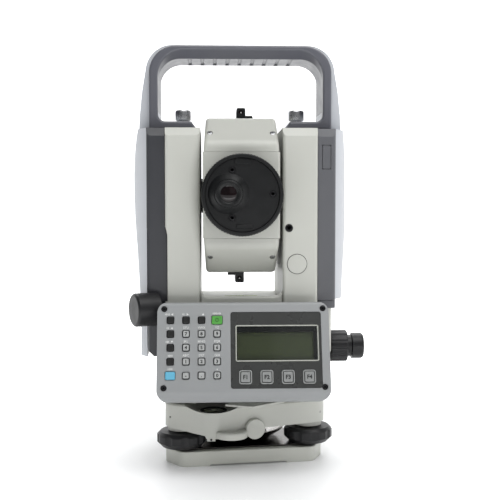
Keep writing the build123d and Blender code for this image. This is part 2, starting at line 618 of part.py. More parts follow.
def telescope_top_cover():
    profile = telescope_profile()
    solid = extrude(Pos(0, 0, TRUNNION_Z) * (Plane.YZ * profile), TELE_HALF_X, both=True)
    low_x, z0, z1 = TELE_HALF_X - 0.6, TRUNNION_Z + TELE_SEAM, TRUNNION_Z + TELE_HALF_Z
    front_view = make_face(Polyline((-low_x, z0), (low_x, z0), (TELE_TOP_HALF_X, z1),
                                    (-TELE_TOP_HALF_X, z1), close=True))
    solid &= extrude(Plane.XZ * front_view, TELE_HALF_Y + 1, both=True)
    ends = [solid.faces().sort_by(Axis.X)[0], solid.faces().sort_by(Axis.X)[-1]]
    rims = [e for face in ends for e in face.edges() if e.center().Z > TRUNNION_Z + TELE_SEAM + 0.5]
    solid = fillet(rims, 3.0)
    wall = 2.5
    room_x = TELE_TOP_HALF_X - wall
    room = block(-room_x, room_x, -24, 24, TRUNNION_Z + TELE_SEAM - 1, TRUNNION_Z + TELE_HALF_Z - wall)
    side_room = block(-room_x, room_x, -TELE_HALF_Y + 4, TELE_HALF_Y - 4, TRUNNION_Z + TELE_SEAM - 1,
                      TRUNNION_Z + 40)
    solid -= room + side_room
    # four recessed screw seats on the slopes
    for sx in (-1, 1):
        for sy in (-1, 1):
            solid -= rod(2.3, (sx * 24.9, sy * 38.5, TRUNNION_Z + 48.6), (0, sy * 0.68, 0.733), 6)
    return solid


def telescope_bottom_cover():
    return mirror(telescope_top_cover(), about=Plane.XY.offset(TRUNNION_Z))


def telescope_body():
    z0, z1 = TRUNNION_Z - TELE_SEAM, TRUNNION_Z + TELE_SEAM
    body = block(-TELE_HALF_X, TELE_HALF_X, -TELE_HALF_Y, TELE_HALF_Y, z0 + 0.15, z1 - 0.15)
    body = fillet(body.edges().filter_by(Axis.Z), 2.0)
    body -= rod(TUBE_BORE_R, (0, -TELE_HALF_Y - 1, TRUNNION_Z), (0, 1, 0), 2 * TELE_HALF_Y + 2)
    return body


def telescope_tube():
    """Black optical tube: eyepiece plate in front, objective mount behind."""
    tube = rod(TUBE_BORE_R - 0.2, (0, -TELE_HALF_Y - 1, TRUNNION_Z), (0, 1, 0), 2 * TELE_HALF_Y + 2)
    plate = rod(EYE_PLATE_R, (0, EYE_PLATE_Y, TRUNNION_Z), (0, 1, 0), -TELE_HALF_Y - 0.2 - EYE_PLATE_Y)
    cone_len = EYE_PLATE_Y - EYEPIECE_Y[1] - FREE_GAP
    seat = Plane(origin=(EYEPIECE_X, EYE_PLATE_Y, TRUNNION_Z + EYEPIECE_DZ), z_dir=(0, -1, 0)).location
    boss = seat * Cone(15.7, EYEPIECE_R + 0.8, cone_len, align=(Align.CENTER, Align.CENTER, Align.MIN))
    mount_y = TELE_HALF_Y + 0.2
    mount = rod(OBJECTIVE_R, (0, mount_y, TRUNNION_Z), (0, 1, 0), OBJECTIVE_Y - mount_y)
    rim = mount.faces().sort_by(Axis.Y)[-1].edges()
    mount = chamfer(rim, 1.5)
    mount -= rod(23.0, (0, OBJECTIVE_Y - 9, TRUNNION_Z), (0, 1, 0), 10)
    boss &= rod(EYE_PLATE_R, (0, EYE_PLATE_Y - 9, TRUNNION_Z), (0, 1, 0), 10)
    whole = tube + plate + boss + mount
    whole -= rod(20.0, (0, -TELE_HALF_Y + 4, TRUNNION_Z), (0, 1, 0), OBJECTIVE_Y)
    whole -= rod(5.0, (EYEPIECE_X, EYEPIECE_Y[0], TRUNNION_Z + EYEPIECE_DZ), (0, 1, 0), 40)
    return whole


def focusing_ring():
    y0, y1 = FOCUS_RING_Y
    ring = rod(FOCUS_RING_R, (0, y0, TRUNNION_Z), (0, 1, 0), y1 - y0)
    ring = fillet(ring.edges().filter_by(GeomType.CIRCLE), 1.0)
    return ring - rod(EYE_PLATE_R + FREE_GAP, (0, y0 - 1, TRUNNION_Z), (0, 1, 0), y1 - y0 + 2)


def eyepiece():
    y0, y1 = EYEPIECE_Y
    z = TRUNNION_Z + EYEPIECE_DZ
    ring = rod(EYEPIECE_R, (EYEPIECE_X, y0, z), (0, 1, 0), y1 - y0)
    front = ring.faces().sort_by(Axis.Y)[0].edges()
    ring = chamfer(front, 1.0)
    ring -= rod(8.2, (EYEPIECE_X, y0 - 1, z), (0, 1, 0), 3)
    ring += rod(5.0 - RUN_FIT, (EYEPIECE_X, y1 - 1, z), (0, 1, 0), 12)
    return ring


def trunnion_axle():
    parts = []
    for side in (-1, 1):
        collar = rod(TRUNNION_COLLAR_R, (side * TELE_HALF_X, 0, TRUNNION_Z), (side, 0, 0), 1.8)
        journal = rod(TRUNNION_R, (side * TELE_HALF_X, 0, TRUNNION_Z), (side, 0, 0),
                      TRUNNION_END_X - TELE_HALF_X)
        parts += (collar + journal).solids()
    return Compound(children=parts)


def vertical_circle():
    x0, x1 = CIRCLE_X
    hub = rod(TRUNNION_R + 4, (x1, 0, TRUNNION_Z), (1, 0, 0), 5)
    disc = rod(CIRCLE_R, (x0, 0, TRUNNION_Z), (1, 0, 0), x1 - x0)
    return disc + hub - rod(TRUNNION_R + 0.1, (x0 - 1, 0, TRUNNION_Z), (1, 0, 0), 12)


def sights():
    """Two sighting collimators, one on top and one under the telescope."""
    low, high = TRUNNION_Z + TELE_HALF_Z + 0.1, TRUNNION_Z + 71.6
    half_len = 13.0
    foot = block(-3.0, 10.2, -half_len, half_len, low, low + 1.8)
    foot += block(2.0, 10.2, -5, 5, low, low + 3.6)
    barrel = block(-3.0, 4.2, -half_len, half_len, low, high)
    barrel = fillet(barrel.edges().filter_by(Axis.Y).group_by(Axis.Z)[-1], 1.2)
    bore_r, bore_depth, bore_z = 2.0, 1.5, high - 3.6
    for y in (-half_len, half_len):
        barrel -= rod(bore_r, (0.6, y - bore_depth, bore_z), (0, 1, 0), 2 * bore_depth)
    upper = foot + barrel
    lower = Pos(0, 0, 2 * TRUNNION_Z) * (Rot(0, 180, 0) * upper)
    return Compound(children=[*upper.solids(), *lower.solids()])


# ------------------------------------------------------------------ panel and keys
def panel_plane(offset=0.0):
    tilt = math.radians(PANEL_TILT)
    plane = Plane(origin=PANEL_CENTRE, x_dir=(1, 0, 0), z_dir=(0, -math.cos(tilt), math.sin(tilt)))
    return plane.offset(offset)


def slab(u0, u1, v0, v1, n0, n1, corner=0.0):
    """Box in panel coordinates: across, up the slope, and out of the face."""
    outline = Pos((u0 + u1) / 2, (v0 + v1) / 2) * Rectangle(u1 - u0, v1 - v0)
    if corner:
        outline = fillet(outline.vertices(), corner)
    return extrude(panel_plane(n0) * outline, n1 - n0)


def key_places():
    """Name, centre and size of every key."""
    places = {}
    for row in range(KEY_ROWS):
        for column in range(KEY_COLUMNS):
            size = (KEY_SIZE, KEY_SIZE)
            if (row, column) == (0, KEY_COLUMNS - 1):
                size = POWER_KEY
            if (row, column) == (KEY_ROWS - 1, 0):
                size = STAR_KEY
            centre = (KEY_U0 + KEY_PITCH_U * column, KEY_V0 - KEY_PITCH_V * row)
            places[f"key_r{row + 1}c{column + 1}"] = (centre, size)
    for k in range(4):
        places[f"key_f{k + 1}"] = ((F_KEY_U0 + F_KEY_PITCH * k, F_KEY_V), F_KEY)
    return places


def key(name):
    (u, v), (w, h) = key_places()[name]
    pad = slab(u - w / 2, u + w / 2, v - h / 2, v + h / 2, -PANEL_SKIN - 1.6, KEY_PROUD, 0.9)
    normal = panel_plane().z_dir
    crown = pad.faces().sort_by(Axis((0, 0, 0), tuple(normal)))[-1].edges()
    pad = fillet(crown, 0.45)
    flange = 0.9
    return pad + slab(u - w / 2 - flange, u + w / 2 + flange, v - h / 2 - flange, v + h / 2 + flange,
                      -PANEL_SKIN - 2.4, -PANEL_SKIN - 1.5)


def panel_case():
    half_h = PANEL_H / 2
    brow_r = 3.0
    bow = 1 - math.sqrt(0.5)
    brow = ThreePointArc((-brow_r, half_h), (-bow * brow_r, half_h - bow * brow_r),
                         (0, half_h - brow_r))
    chin_low = -half_h
    chin_mid = bow * PANEL_CHIN_R
    chin = ThreePointArc((0, chin_low + PANEL_CHIN_R), (-chin_mid, chin_low + chin_mid),
                         (-PANEL_CHIN_R, chin_low))
    side = make_face(Polyline((-PANEL_T, -half_h + 1), (-PANEL_T, half_h), (-brow_r, half_h)) + brow
                     + Line((0, half_h - brow_r), (0, -half_h + PANEL_CHIN_R)) + chin
                     + Polyline((-PANEL_CHIN_R, -half_h), (-PANEL_T, -half_h), (-PANEL_T, -half_h + 1)))
    face = panel_plane()
    side_plane = Plane(origin=PANEL_CENTRE, x_dir=face.z_dir, z_dir=-face.x_dir)
    plate = extrude(side_plane * side, PANEL_W / 2, both=True)
    plate &= slab(-PANEL_W / 2, PANEL_W / 2, -half_h - 1, half_h, -PANEL_T - 1, 1, 0.0)
    rounded = slab(-PANEL_W / 2, PANEL_W / 2, -half_h, half_h, -PANEL_T - 1, 1, PANEL_CORNER_R)
    plate &= rounded
    # narrower back, from the plate to the lower housing
    back_x = 56.0
    lower_z, upper_z = 62.0, 129.5
    back = block(-back_x, back_x, -90, HOUSING_Y[0] - 0.05, lower_z, upper_z)
    back &= slab(-80, 80, -60, 60, -60, -PANEL_T + 0.01)
    plate += back
    room_v = half_h - 3.5
    room_u = PANEL_W / 2 - 3
    plate -= slab(-room_u, room_u, -room_v + 6, room_v, -PANEL_T + 2.5, -PANEL_SKIN, 5.0)
    inner = block(-back_x + WALL, back_x - WALL, -90, HOUSING_Y[0] - WALL, lower_z + WALL,
                  upper_z - WALL)
    plate -= inner & slab(-80, 80, -room_v + 6, room_v, -60, -PANEL_SKIN)
    # window pocket, display opening and key holes
    plate -= slab(*WINDOW_U, *WINDOW_V, -WINDOW_T - 0.3, 1, 2.0)
    plate -= slab(*LCD_U, *LCD_V, -5, 1)
    for (u, v), (w, h) in key_places().values():
        grow = KEY_CLEAR
        plate -= slab(u - w / 2 - grow, u + w / 2 + grow, v - h / 2 - grow, v + h / 2 + grow,
                      -PANEL_SKIN - 1, 1, 1.2)
    # screw seats in the four corners
    for u in PANEL_SCREW_U:
        for v in PANEL_SCREW_V:
            seat = panel_plane(-1.6) * (Pos(u, v) * Circle(2.4))
            plate -= extrude(seat, 3)
    return plate - tangent_clearance()


def display_window():
    u0, u1 = WINDOW_U
    v0, v1 = WINDOW_V
    gap = 0.1
    window = slab(u0 + gap, u1 - gap, v0 + gap, v1 - gap, -WINDOW_T - 0.3, -0.3, 1.9)
    for k in range(4):
        (u, v), (w, h) = key_places()[f"key_f{k + 1}"]
        half_w, half_h = w / 2 + KEY_CLEAR, h / 2 + KEY_CLEAR
        window -= slab(u - half_w, u + half_w, v - half_h, v + half_h, -5, 1, 1.2)
    return window


# ------------------------------------------------------------------ knobs of the alidade
def tangent_knob():
    axis = tangent_axis()
    knob = rod(TANGENT_R, along_tangent(0), axis, TANGENT_LEN)
    order = knob.faces().sort_by(Axis((0, 0, 0), axis))
    knob = fillet(order[-1].edges(), 2.2)
    return knob + rod(TANGENT_SHAFT_R, along_tangent(-10), axis, 11)


def plummet_focus_ring():
    x0, x1 = PLUMMET_X
    ring = rod(PLUMMET_R, (x0, PLUMMET_Y, PLUMMET_Z), (1, 0, 0), x1 - x0)
    ring = chamfer(ring.edges().filter_by(GeomType.CIRCLE), 0.8)
    flutes, flute_r, flute_depth = 14, 2.2, 0.7
    for k in range(flutes):
        dy, dz = at_angle(PLUMMET_R + flute_r - flute_depth, 360 * k / flutes)
        ring -= rod(flute_r, (x0 - 1, PLUMMET_Y + dy, PLUMMET_Z + dz), (1, 0, 0), x1 - x0 + 2)
    neck = rod(8.9, (x1 - 1, PLUMMET_Y, PLUMMET_Z), (1, 0, 0), 4.6)
    stub = rod(PLUMMET_STUB_R, (60, PLUMMET_Y, PLUMMET_Z), (1, 0, 0), x0 + 1 - 60)
    whole = ring + neck + stub
    return whole - rod(6.0, (50, PLUMMET_Y, PLUMMET_Z), (1, 0, 0), 60)


def plummet_eyepiece():
    x0 = PLUMMET_X[1] + 3.6 + FREE_GAP
    cap = rod(PLUMMET_EYE_R, (x0, PLUMMET_Y, PLUMMET_Z), (1, 0, 0), PLUMMET_EYE_X - x0)
    rims = cap.faces().sort_by(Axis.X)[-1].edges()
    cap = fillet(rims, 2.4)
    cap -= rod(5.2, (PLUMMET_EYE_X - 2.5, PLUMMET_Y, PLUMMET_Z), (1, 0, 0), 4)
    return cap + rod(6.0 - RUN_FIT, (x0 - 10, PLUMMET_Y, PLUMMET_Z), (1, 0, 0), 11)


# ------------------------------------------------------------------ all nodes
def nodes():
    made = {
        "base_plate": base_plate(),
        "spring_plate": spring_plate(),
        "tribrach_body": tribrach_body(),
        "circular_level": circular_level(),
        "tribrach_clamp": tribrach_clamp(),
        "base_flange": base_flange(),
        "vertical_spindle": vertical_spindle(),
        "lower_housing": lower_housing(),
        "yoke_frame": yoke_frame(),
        "plate_level": plate_level(),
        "left_side_cover": left_side_cover(),
        "left_outer_cover": left_outer_cover(),
        "battery_case": battery_case(),
        "battery_cover": battery_cover(),
        "battery_latch": battery_latch(),
        "handle_core": handle_core(),
        "handle_grip": handle_grip(),
        "handle_screw_left": handle_screw(-1),
        "handle_screw_right": handle_screw(1),
        "telescope_body": telescope_body(),
        "telescope_top_cover": telescope_top_cover(),
        "telescope_bottom_cover": telescope_bottom_cover(),
        "telescope_tube": telescope_tube(),
        "trunnion_axle": trunnion_axle(),
        "vertical_circle": vertical_circle(),
        "focusing_ring": focusing_ring(),
        "eyepiece": eyepiece(),
        "sights": sights(),
        "panel_case": panel_case(),
        "display_window": display_window(),
        "tangent_knob": tangent_knob(),
        "plummet_focus_ring": plummet_focus_ring(),
        "plummet_eyepiece": plummet_eyepiece(),
    }
    for name in FOOT_ANGLES:
        made[f"foot_screw_{name}"] = foot_screw(name)
    for name in key_places():
        made[name] = key(name)
    return made


os.makedirs("parts", exist_ok=True)
for node_name, shape in nodes().items():
    export_step(shape, f"parts/{node_name}.step")
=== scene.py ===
"""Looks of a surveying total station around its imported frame: materials, fittings, light and camera.

Lengths are written in millimetres. Places are read from the CAD nodes and joints.
"""

import json
import math

import bmesh
import bpy
from mathutils import Matrix, Vector


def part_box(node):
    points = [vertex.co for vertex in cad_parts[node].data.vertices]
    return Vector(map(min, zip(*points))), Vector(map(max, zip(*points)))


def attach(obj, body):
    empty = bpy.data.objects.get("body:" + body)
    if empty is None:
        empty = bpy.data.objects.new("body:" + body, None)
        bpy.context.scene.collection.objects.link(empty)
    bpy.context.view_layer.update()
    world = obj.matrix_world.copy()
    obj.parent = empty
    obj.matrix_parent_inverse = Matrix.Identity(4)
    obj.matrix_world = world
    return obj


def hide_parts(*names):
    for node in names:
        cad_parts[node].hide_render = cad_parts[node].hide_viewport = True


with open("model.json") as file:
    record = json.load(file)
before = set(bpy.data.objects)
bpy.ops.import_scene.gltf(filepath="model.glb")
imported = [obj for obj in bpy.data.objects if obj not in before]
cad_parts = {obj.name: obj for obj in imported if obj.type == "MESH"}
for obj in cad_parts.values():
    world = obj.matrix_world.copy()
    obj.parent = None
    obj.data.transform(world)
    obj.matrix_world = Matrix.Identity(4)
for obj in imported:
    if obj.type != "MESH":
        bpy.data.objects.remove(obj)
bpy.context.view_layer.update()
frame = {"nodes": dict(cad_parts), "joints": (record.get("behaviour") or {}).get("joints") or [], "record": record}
NODES = frame["nodes"]
JOINTS = {joint["name"]: joint for joint in frame["joints"]}
MM = 0.001

# ------------------------------------------------------------------ camera and staging sizes
CAMERA_PLACE = (-22.9, -731.96, 207.5)
CAMERA_YAW = 2.462            # degrees, to the right
CAMERA_PITCH = 3.003          # degrees, down
CAMERA_SENSOR = 36.0
CAMERA_LENS = 62.86


# ------------------------------------------------------------------ places read from the frame
def middle(node):
    """Centre of a CAD node, in millimetres."""
    low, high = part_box(node)
    return (low + high) / 2 / MM


def lowest(node):
    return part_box(node)[0] / MM


def highest(node):
    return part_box(node)[1] / MM


PANEL_N = -Vector(JOINTS["key_f1_press"]["axis"]).normalized()
PANEL_U = Vector((1, 0, 0))
UP = (0, 0, 1)
PANEL_V = PANEL_N.cross(PANEL_U)


def panel_extent(node, above=-100.0):
    """Lowest and highest (across, up the slope, out of the face) of a node's points above a height."""
    points = []
    for vertex in NODES[node].data.vertices:
        p = vertex.co / MM
        points.append(Vector((p.dot(PANEL_U), p.dot(PANEL_V), p.dot(PANEL_N))))
    points = [p for p in points if p.z > above]
    low = Vector([min(p[k] for p in points) for k in range(3)])
    high = Vector([max(p[k] for p in points) for k in range(3)])
    return low, high


def panel_origin():
    """Centre of the window, in the plane of the panel's face."""
    low, high = panel_extent("display_window")
    face = panel_extent("panel_case")[1].z
    return Vector(((low.x + high.x) / 2, (low.y + high.y) / 2, face))


PANEL_O = panel_origin()


def at(origin, z_axis, x_axis=None):
    """Matrix from a piece's own millimetres to the row frame, its z along z_axis."""
    z = Vector(z_axis).normalized()
    x = Vector(x_axis) if x_axis else z.orthogonal()
    x = (x - z * x.dot(z)).normalized()
    matrix = Matrix((x, z.cross(x), z)).transposed().to_4x4()
    matrix.translation = Vector(origin) * MM
    return matrix @ Matrix.Scale(MM, 4)


def on_panel(u=0.0, v=0.0, n=0.0):
    """Place on the panel: u and v from the window's centre, n out of the face."""
    local = PANEL_O + Vector((u, v, n))
    return at(local.x * PANEL_U + local.y * PANEL_V + local.z * PANEL_N, PANEL_N, PANEL_U)


# ------------------------------------------------------------------ material nodes
def add(tree, kind, inputs=None, **settings):
    """New shader node. An input is set to a value, or linked when it is given a socket."""
    node = tree.nodes.new("ShaderNode" + kind)
    for name, value in settings.items():
        setattr(node, name, value)
    for name, value in (inputs or {}).items():
        if isinstance(value, bpy.types.NodeSocket):
            tree.links.new(value, node.inputs[name])
        else:
            node.inputs[name].default_value = value
    return node


def new_material(name):
    """Material with one Principled shader, its tree and that shader."""
    material = bpy.data.materials.new(name)
    material.use_nodes = True
    tree = material.node_tree
    tree.nodes.clear()
    shader = add(tree, "BsdfPrincipled")
    add(tree, "OutputMaterial", {"Surface": shader.outputs[0]})
    return material, tree, shader


def linear(hex_colour):
    """sRGB hex to linear RGBA."""
    values = [int(hex_colour[k:k + 2], 16) / 255 for k in (0, 2, 4)]
    return (*[v / 12.92 if v <= 0.04045 else ((v + 0.055) / 1.055) ** 2.4 for v in values], 1.0)


def shade(colour, factor):
    return (*[min(1.0, c * factor) for c in colour[:3]], 1.0)


def noise(tree, size_mm, detail=3.0, stretch=(1, 1, 1)):
    """Noise of about that feature size, in the node's own space."""
    place = add(tree, "TexCoord").outputs["Object"]
    if stretch != (1, 1, 1):
        place = add(tree, "Mapping", {"Vector": place, "Scale": stretch}).outputs[0]
    settings = {"Vector": place, "Scale": 1 / (size_mm * MM), "Detail": detail}
    return add(tree, "TexNoise", settings).outputs["Fac"]


def ramp(tree, value, low, high, out_low=0.0, out_high=1.0):
    return add(tree, "MapRange", {"Value": value, "From Min": low, "From Max": high,
                                  "To Min": out_low, "To Max": out_high}).outputs[0]


def times(tree, a, b):
    return add(tree, "Math", {0: a, 1: b}, operation="MULTIPLY").outputs[0]


def blend(tree, factor, a, b):
    node = add(tree, "Mix", {"Factor": factor}, data_type="RGBA")
    for socket, value in ((node.inputs[6], a), (node.inputs[7], b)):
        if isinstance(value, bpy.types.NodeSocket):
            tree.links.new(value, socket)
        else:
            socket.default_value = value
    return node.outputs[2]


def surface(name, colour, rough, metal=0.0, grain=(0.5, 0.02), mottle=0.05, edge=1.25, wear=0.35,
            crease_shading=0.25, radius=0.4, coat=0.0, specular=0.5, stretch=(1, 1, 1)):
    """Moulded, painted or turned surface.

    grain is the size and height of its fine bumps in millimetres, mottle its colour's variation, edge the
    brightness of rubbed edges, wear their amount, crease_shading the painted shade that darkens creases, radius
    the edges' rounding.
    """
    material, tree, shader = new_material(name)
    base = linear(colour)
    wide = noise(tree, 26.0)
    fine = noise(tree, grain[0], 2.0, stretch)
    tint = blend(tree, wide, shade(base, 1 - mottle), shade(base, 1 + mottle))
    tint = blend(tree, ramp(tree, fine, 0.35, 0.65, 0.0, 0.25), tint, shade(base, 1 - 1.5 * mottle))
    flat_normal = add(tree, "NewGeometry").outputs["Normal"]
    round_normal = flat_normal
    if radius:
        round_normal = add(tree, "Bevel", {"Radius": radius * MM}, samples=4).outputs[0]
    facing = add(tree, "VectorMath", {0: round_normal, 1: flat_normal}, operation="DOT_PRODUCT")
    at_edge = ramp(tree, facing.outputs["Value"], 0.985, 0.86)
    rubbed = times(tree, at_edge, ramp(tree, noise(tree, 5.0), 0.35, 0.65, 0.2, wear))
    tint = blend(tree, rubbed, tint, shade(base, edge))
    # painted shade: ambient occlusion darkens creases and hollows towards a third of the base colour
    open_sky = add(tree, "AmbientOcclusion", {"Distance": 5 * MM}, samples=4).outputs["AO"]
    crease = times(tree, ramp(tree, open_sky, 0.75, 0.15), crease_shading)
    tint = blend(tree, crease, tint, shade(base, 0.35))
    tree.links.new(tint, shader.inputs["Base Color"])
    smear = ramp(tree, noise(tree, 9.0), 0.3, 0.7, rough - 0.05, rough + 0.06)
    tree.links.new(smear, shader.inputs["Roughness"])
    bump = add(tree, "Bump", {"Height": fine, "Strength": 1.0, "Distance": grain[1] * MM,
                              "Normal": round_normal})
    tree.links.new(bump.outputs[0], shader.inputs["Normal"])
    shader.inputs["Metallic"].default_value = metal
    shader.inputs["Coat Weight"].default_value = coat
    shader.inputs["Specular IOR Level"].default_value = specular
    return material


def coated_lens(name, depth_colour, coat_colour, shine=1.0):
    """Opaque stand-in for a deep lens: dark glass with a tinted coating and a mirror-smooth surface."""
    material, tree, shader = new_material(name)
    place = add(tree, "TexCoord").outputs["Object"]
    cloud = add(tree, "TexNoise", {"Vector": place, "Scale": 60.0, "Detail": 1.0}).outputs["Fac"]
    tree.links.new(blend(tree, cloud, linear(depth_colour), linear(coat_colour)), shader.inputs["Base Color"])
    smear = ramp(tree, noise(tree, 3.0), 0.4, 0.8, 0.03, 0.09)
    tree.links.new(smear, shader.inputs["Roughness"])
    shader.inputs["Specular IOR Level"].default_value = 0.9 * shine
    shader.inputs["Coat Weight"].default_value = shine
    shader.inputs["Coat Roughness"].default_value = 0.02
    return material


def clear_pane(name):
    """Clear acrylic: light goes through, and the surface mirrors a little."""
    material, tree, shader = new_material(name)
    tree.nodes.remove(shader)
    output = next(n for n in tree.nodes if n.type == "OUTPUT_MATERIAL")
    clear = add(tree, "BsdfTransparent", {"Color": (0.93, 0.95, 0.94, 1)})
    smear = ramp(tree, noise(tree, 6.0), 0.35, 0.75, 0.04, 0.14)
    mirror = add(tree, "BsdfGlossy", {"Roughness": smear})
    film = add(tree, "MixShader", {0: add(tree, "Fresnel", {"IOR": 1.45}).outputs[0],
                                   1: clear.outputs[0], 2: mirror.outputs[0]})
    tree.links.new(film.outputs[0], output.inputs["Surface"])
    return material


def display_glass(name):
    """Unlit liquid-crystal panel: olive green, a faint dot grid under a satin polariser."""
    material, tree, shader = new_material(name)
    place = add(tree, "TexCoord").outputs["Object"]
    dot_pitch = 0.42
    bands = {"Vector": place, "Scale": 1 / (dot_pitch * MM) / 20, "Distortion": 0.0}
    grid = add(tree, "TexWave", bands, bands_direction="X").outputs["Fac"]
    rows = add(tree, "TexWave", bands, bands_direction="Z").outputs["Fac"]
    base = linear("5d653f")
    tint = blend(tree, noise(tree, 30.0), shade(base, 0.88), shade(base, 1.12))
    dots = times(tree, ramp(tree, times(tree, grid, rows), 0.0, 0.3), 0.25)
    tint = blend(tree, dots, shade(base, 0.9), tint)
    tree.links.new(tint, shader.inputs["Base Color"])
    shader.inputs["Roughness"].default_value = 0.32
    shader.inputs["Coat Weight"].default_value = 0.4
    shader.inputs["Coat Roughness"].default_value = 0.15
    return material


def ink(name, colour):
    """Printed ink with slightly uneven cover."""
    material, tree, shader = new_material(name)
    base = linear(colour)
    tint = blend(tree, ramp(tree, noise(tree, 0.6), 0.4, 0.7), base, shade(base, 0.82))
    tree.links.new(tint, shader.inputs["Base Color"])
    shader.inputs["Roughness"].default_value = 0.55
    return material


def make_materials():
    """One material for each slot of the record, and a few for fittings."""
    return {
        "light_paint": surface("light_paint", "bebfb8", 0.42, grain=(0.45, 0.018), mottle=0.03),
        "light_shell": surface("light_shell", "bfc2c7", 0.4, grain=(0.6, 0.008), mottle=0.02),
        "dark_shell": surface("dark_shell", "5b5c60", 0.42, grain=(0.35, 0.02), mottle=0.05, specular=0.4),
        # painted light: the same paint as light_paint, lightened for the base plate, which lies low in the panel's
        # shade
        "light_paint_lit": surface("light_paint_lit", "d2d3cb", 0.42, grain=(0.45, 0.018), mottle=0.03),
        # painted shade: darker copy of dark_shell for the left side cover, which faces away from the lamps
        "dark_shell_shaded": surface("dark_shell_shaded", "393a3e", 0.34, grain=(0.35, 0.016), mottle=0.05, specular=0.4),
        "grip_shell": surface("grip_shell", "585960", 0.34, grain=(0.3, 0.012), mottle=0.05, specular=0.5),
        "black_knob": surface("black_knob", "1b1b1d", 0.4, grain=(0.4, 0.02), mottle=0.1, edge=2.2,
                              specular=0.35),
        "black_optics": surface("black_optics", "131415", 0.36, grain=(0.25, 0.01), mottle=0.1, edge=2.6,
                                radius=0.3, specular=0.3),
        "spring_steel": surface("spring_steel", "4a4846", 0.16, metal=1.0, grain=(0.3, 0.003), edge=1.8,
                                stretch=(1, 14, 1), crease_shading=0.4),
        "washer_steel": surface("washer_steel", "d0cecb", 0.2, metal=1.0, grain=(0.3, 0.002), edge=1.3,
                                stretch=(14, 1, 1), crease_shading=0.3),
        "axle_steel": surface("axle_steel", "2a2a2b", 0.35, metal=0.6, grain=(0.3, 0.006), edge=2.0),
        "bright_screw": surface("bright_screw", "b9babc", 0.28, metal=1.0, grain=(0.3, 0.004), edge=1.2,
                                crease_shading=0.6, radius=0.15),
        "panel_grey": surface("panel_grey", "97999a", 0.4, grain=(0.4, 0.014), mottle=0.03, specular=0.4),
        "window_charcoal": surface("window_charcoal", "3d3e3d", 0.3, grain=(0.8, 0.002), mottle=0.04,
                                   crease_shading=0.0, radius=0, specular=0.35),
        "level_vial": coated_lens("level_vial", "2f3a1c", "4d5a2c"),
        "circle_glass": coated_lens("circle_glass", "66706c", "8b9894"),
        "key_black": surface("key_black", "1d1d1d", 0.5, grain=(0.3, 0.01), edge=1.8, radius=0.2,
                             specular=0.35),
        "key_green": surface("key_green", "4f9d40", 0.5, grain=(0.3, 0.01), radius=0.2, crease_shading=0.4),
        "key_blue": surface("key_blue", "66b4d2", 0.5, grain=(0.3, 0.01), radius=0.2, crease_shading=0.4),
        "key_light": surface("key_light", "a9abaa", 0.45, grain=(0.3, 0.01), edge=1.35, radius=0.25,
                             crease_shading=0.5),
        "function_key": surface("function_key", "8f9190", 0.4, grain=(0.3, 0.01), edge=1.35, radius=0.25),
        # painted shade: dark grey for the light keys' tapered sides, standing for the shade that falls on them
        "key_side_shade": surface("key_side_shade", "3a3c3b", 0.55, grain=(0.3, 0.01), radius=0.2),
        "steel_dark": surface("steel_dark", "232325", 0.3, metal=0.8, grain=(0.3, 0.005), edge=2.2,
                              radius=0.15),
        "rubber": surface("rubber", "1c1c1d", 0.6, grain=(0.35, 0.03), edge=1.6, specular=0.3),
        "key_bezel": surface("key_bezel", "a0a2a1", 0.35, grain=(0.3, 0.008), edge=1.4, radius=0.25),
        "frame_line": surface("frame_line", "b0b2a9", 0.35, grain=(0.5, 0.004), radius=0.2),
        "white_ink": ink("white_ink", "dddedc"),
        "dark_ink": ink("dark_ink", "0b0c0d"),
        "eye_lens": coated_lens("eye_lens", "050304", "1c070b", 0.25),
        "front_lens": coated_lens("front_lens", "060b0a", "12201a"),
        "pane": clear_pane("pane"),
        "display": display_glass("display"),
        "vial_glass": coated_lens("vial_glass", "b7c98a", "cfe0a0"),
        "bubble": coated_lens("bubble", "e6efcf", "f4f9e6"),
    }


MATERIALS = make_materials()

# nodes that take another material than their slot's: the left side cover a darker copy as painted shade, the base
# plate a lighter copy as painted light, the handle grip a glossier, slightly darker grey
SHADES = {"left_side_cover": "dark_shell_shaded", "handle_grip": "grip_shell", "base_plate": "light_paint_lit"}


def dress_frame():
    """Every CAD node takes its slot's material, or a copy of it: the darker and lighter copies are painted shade
    and light.
    """
    for part in frame["record"]["subparts"]:
        data = NODES[part["node"]].data
        data.materials.clear()
        data.materials.append(MATERIALS[SHADES.get(part["node"], part["material_slot"])])


# ------------------------------------------------------------------ camera, light, floor
def make_camera():
    yaw = math.radians(CAMERA_YAW)
    pitch = math.radians(CAMERA_PITCH)
    camera = bpy.data.objects.new("camera", bpy.data.cameras.new("camera"))
    camera.location = Vector(CAMERA_PLACE) * MM
    forward = Vector((math.sin(yaw) * math.cos(pitch), math.cos(yaw) * math.cos(pitch), -math.sin(pitch)))
    camera.rotation_euler = forward.to_track_quat("-Z", "Y").to_euler()
    camera.data.sensor_width = CAMERA_SENSOR
    camera.data.lens = CAMERA_LENS
    camera.data.clip_start = 0.01
    bpy.context.scene.collection.objects.link(camera)
    bpy.context.scene.camera = camera


def area_light(name, place, target, size, power):
    """Soft box at a place in metres, facing a target."""
    lamp = bpy.data.lights.new(name, "AREA")
    lamp.shape = "RECTANGLE"
    lamp.size, lamp.size_y = size
    lamp.energy = power
    holder = bpy.data.objects.new(name, lamp)
    holder.location = place
    holder.rotation_euler = (Vector(target) - Vector(place)).to_track_quat("-Z", "Y").to_euler()
    bpy.context.scene.collection.objects.link(holder)


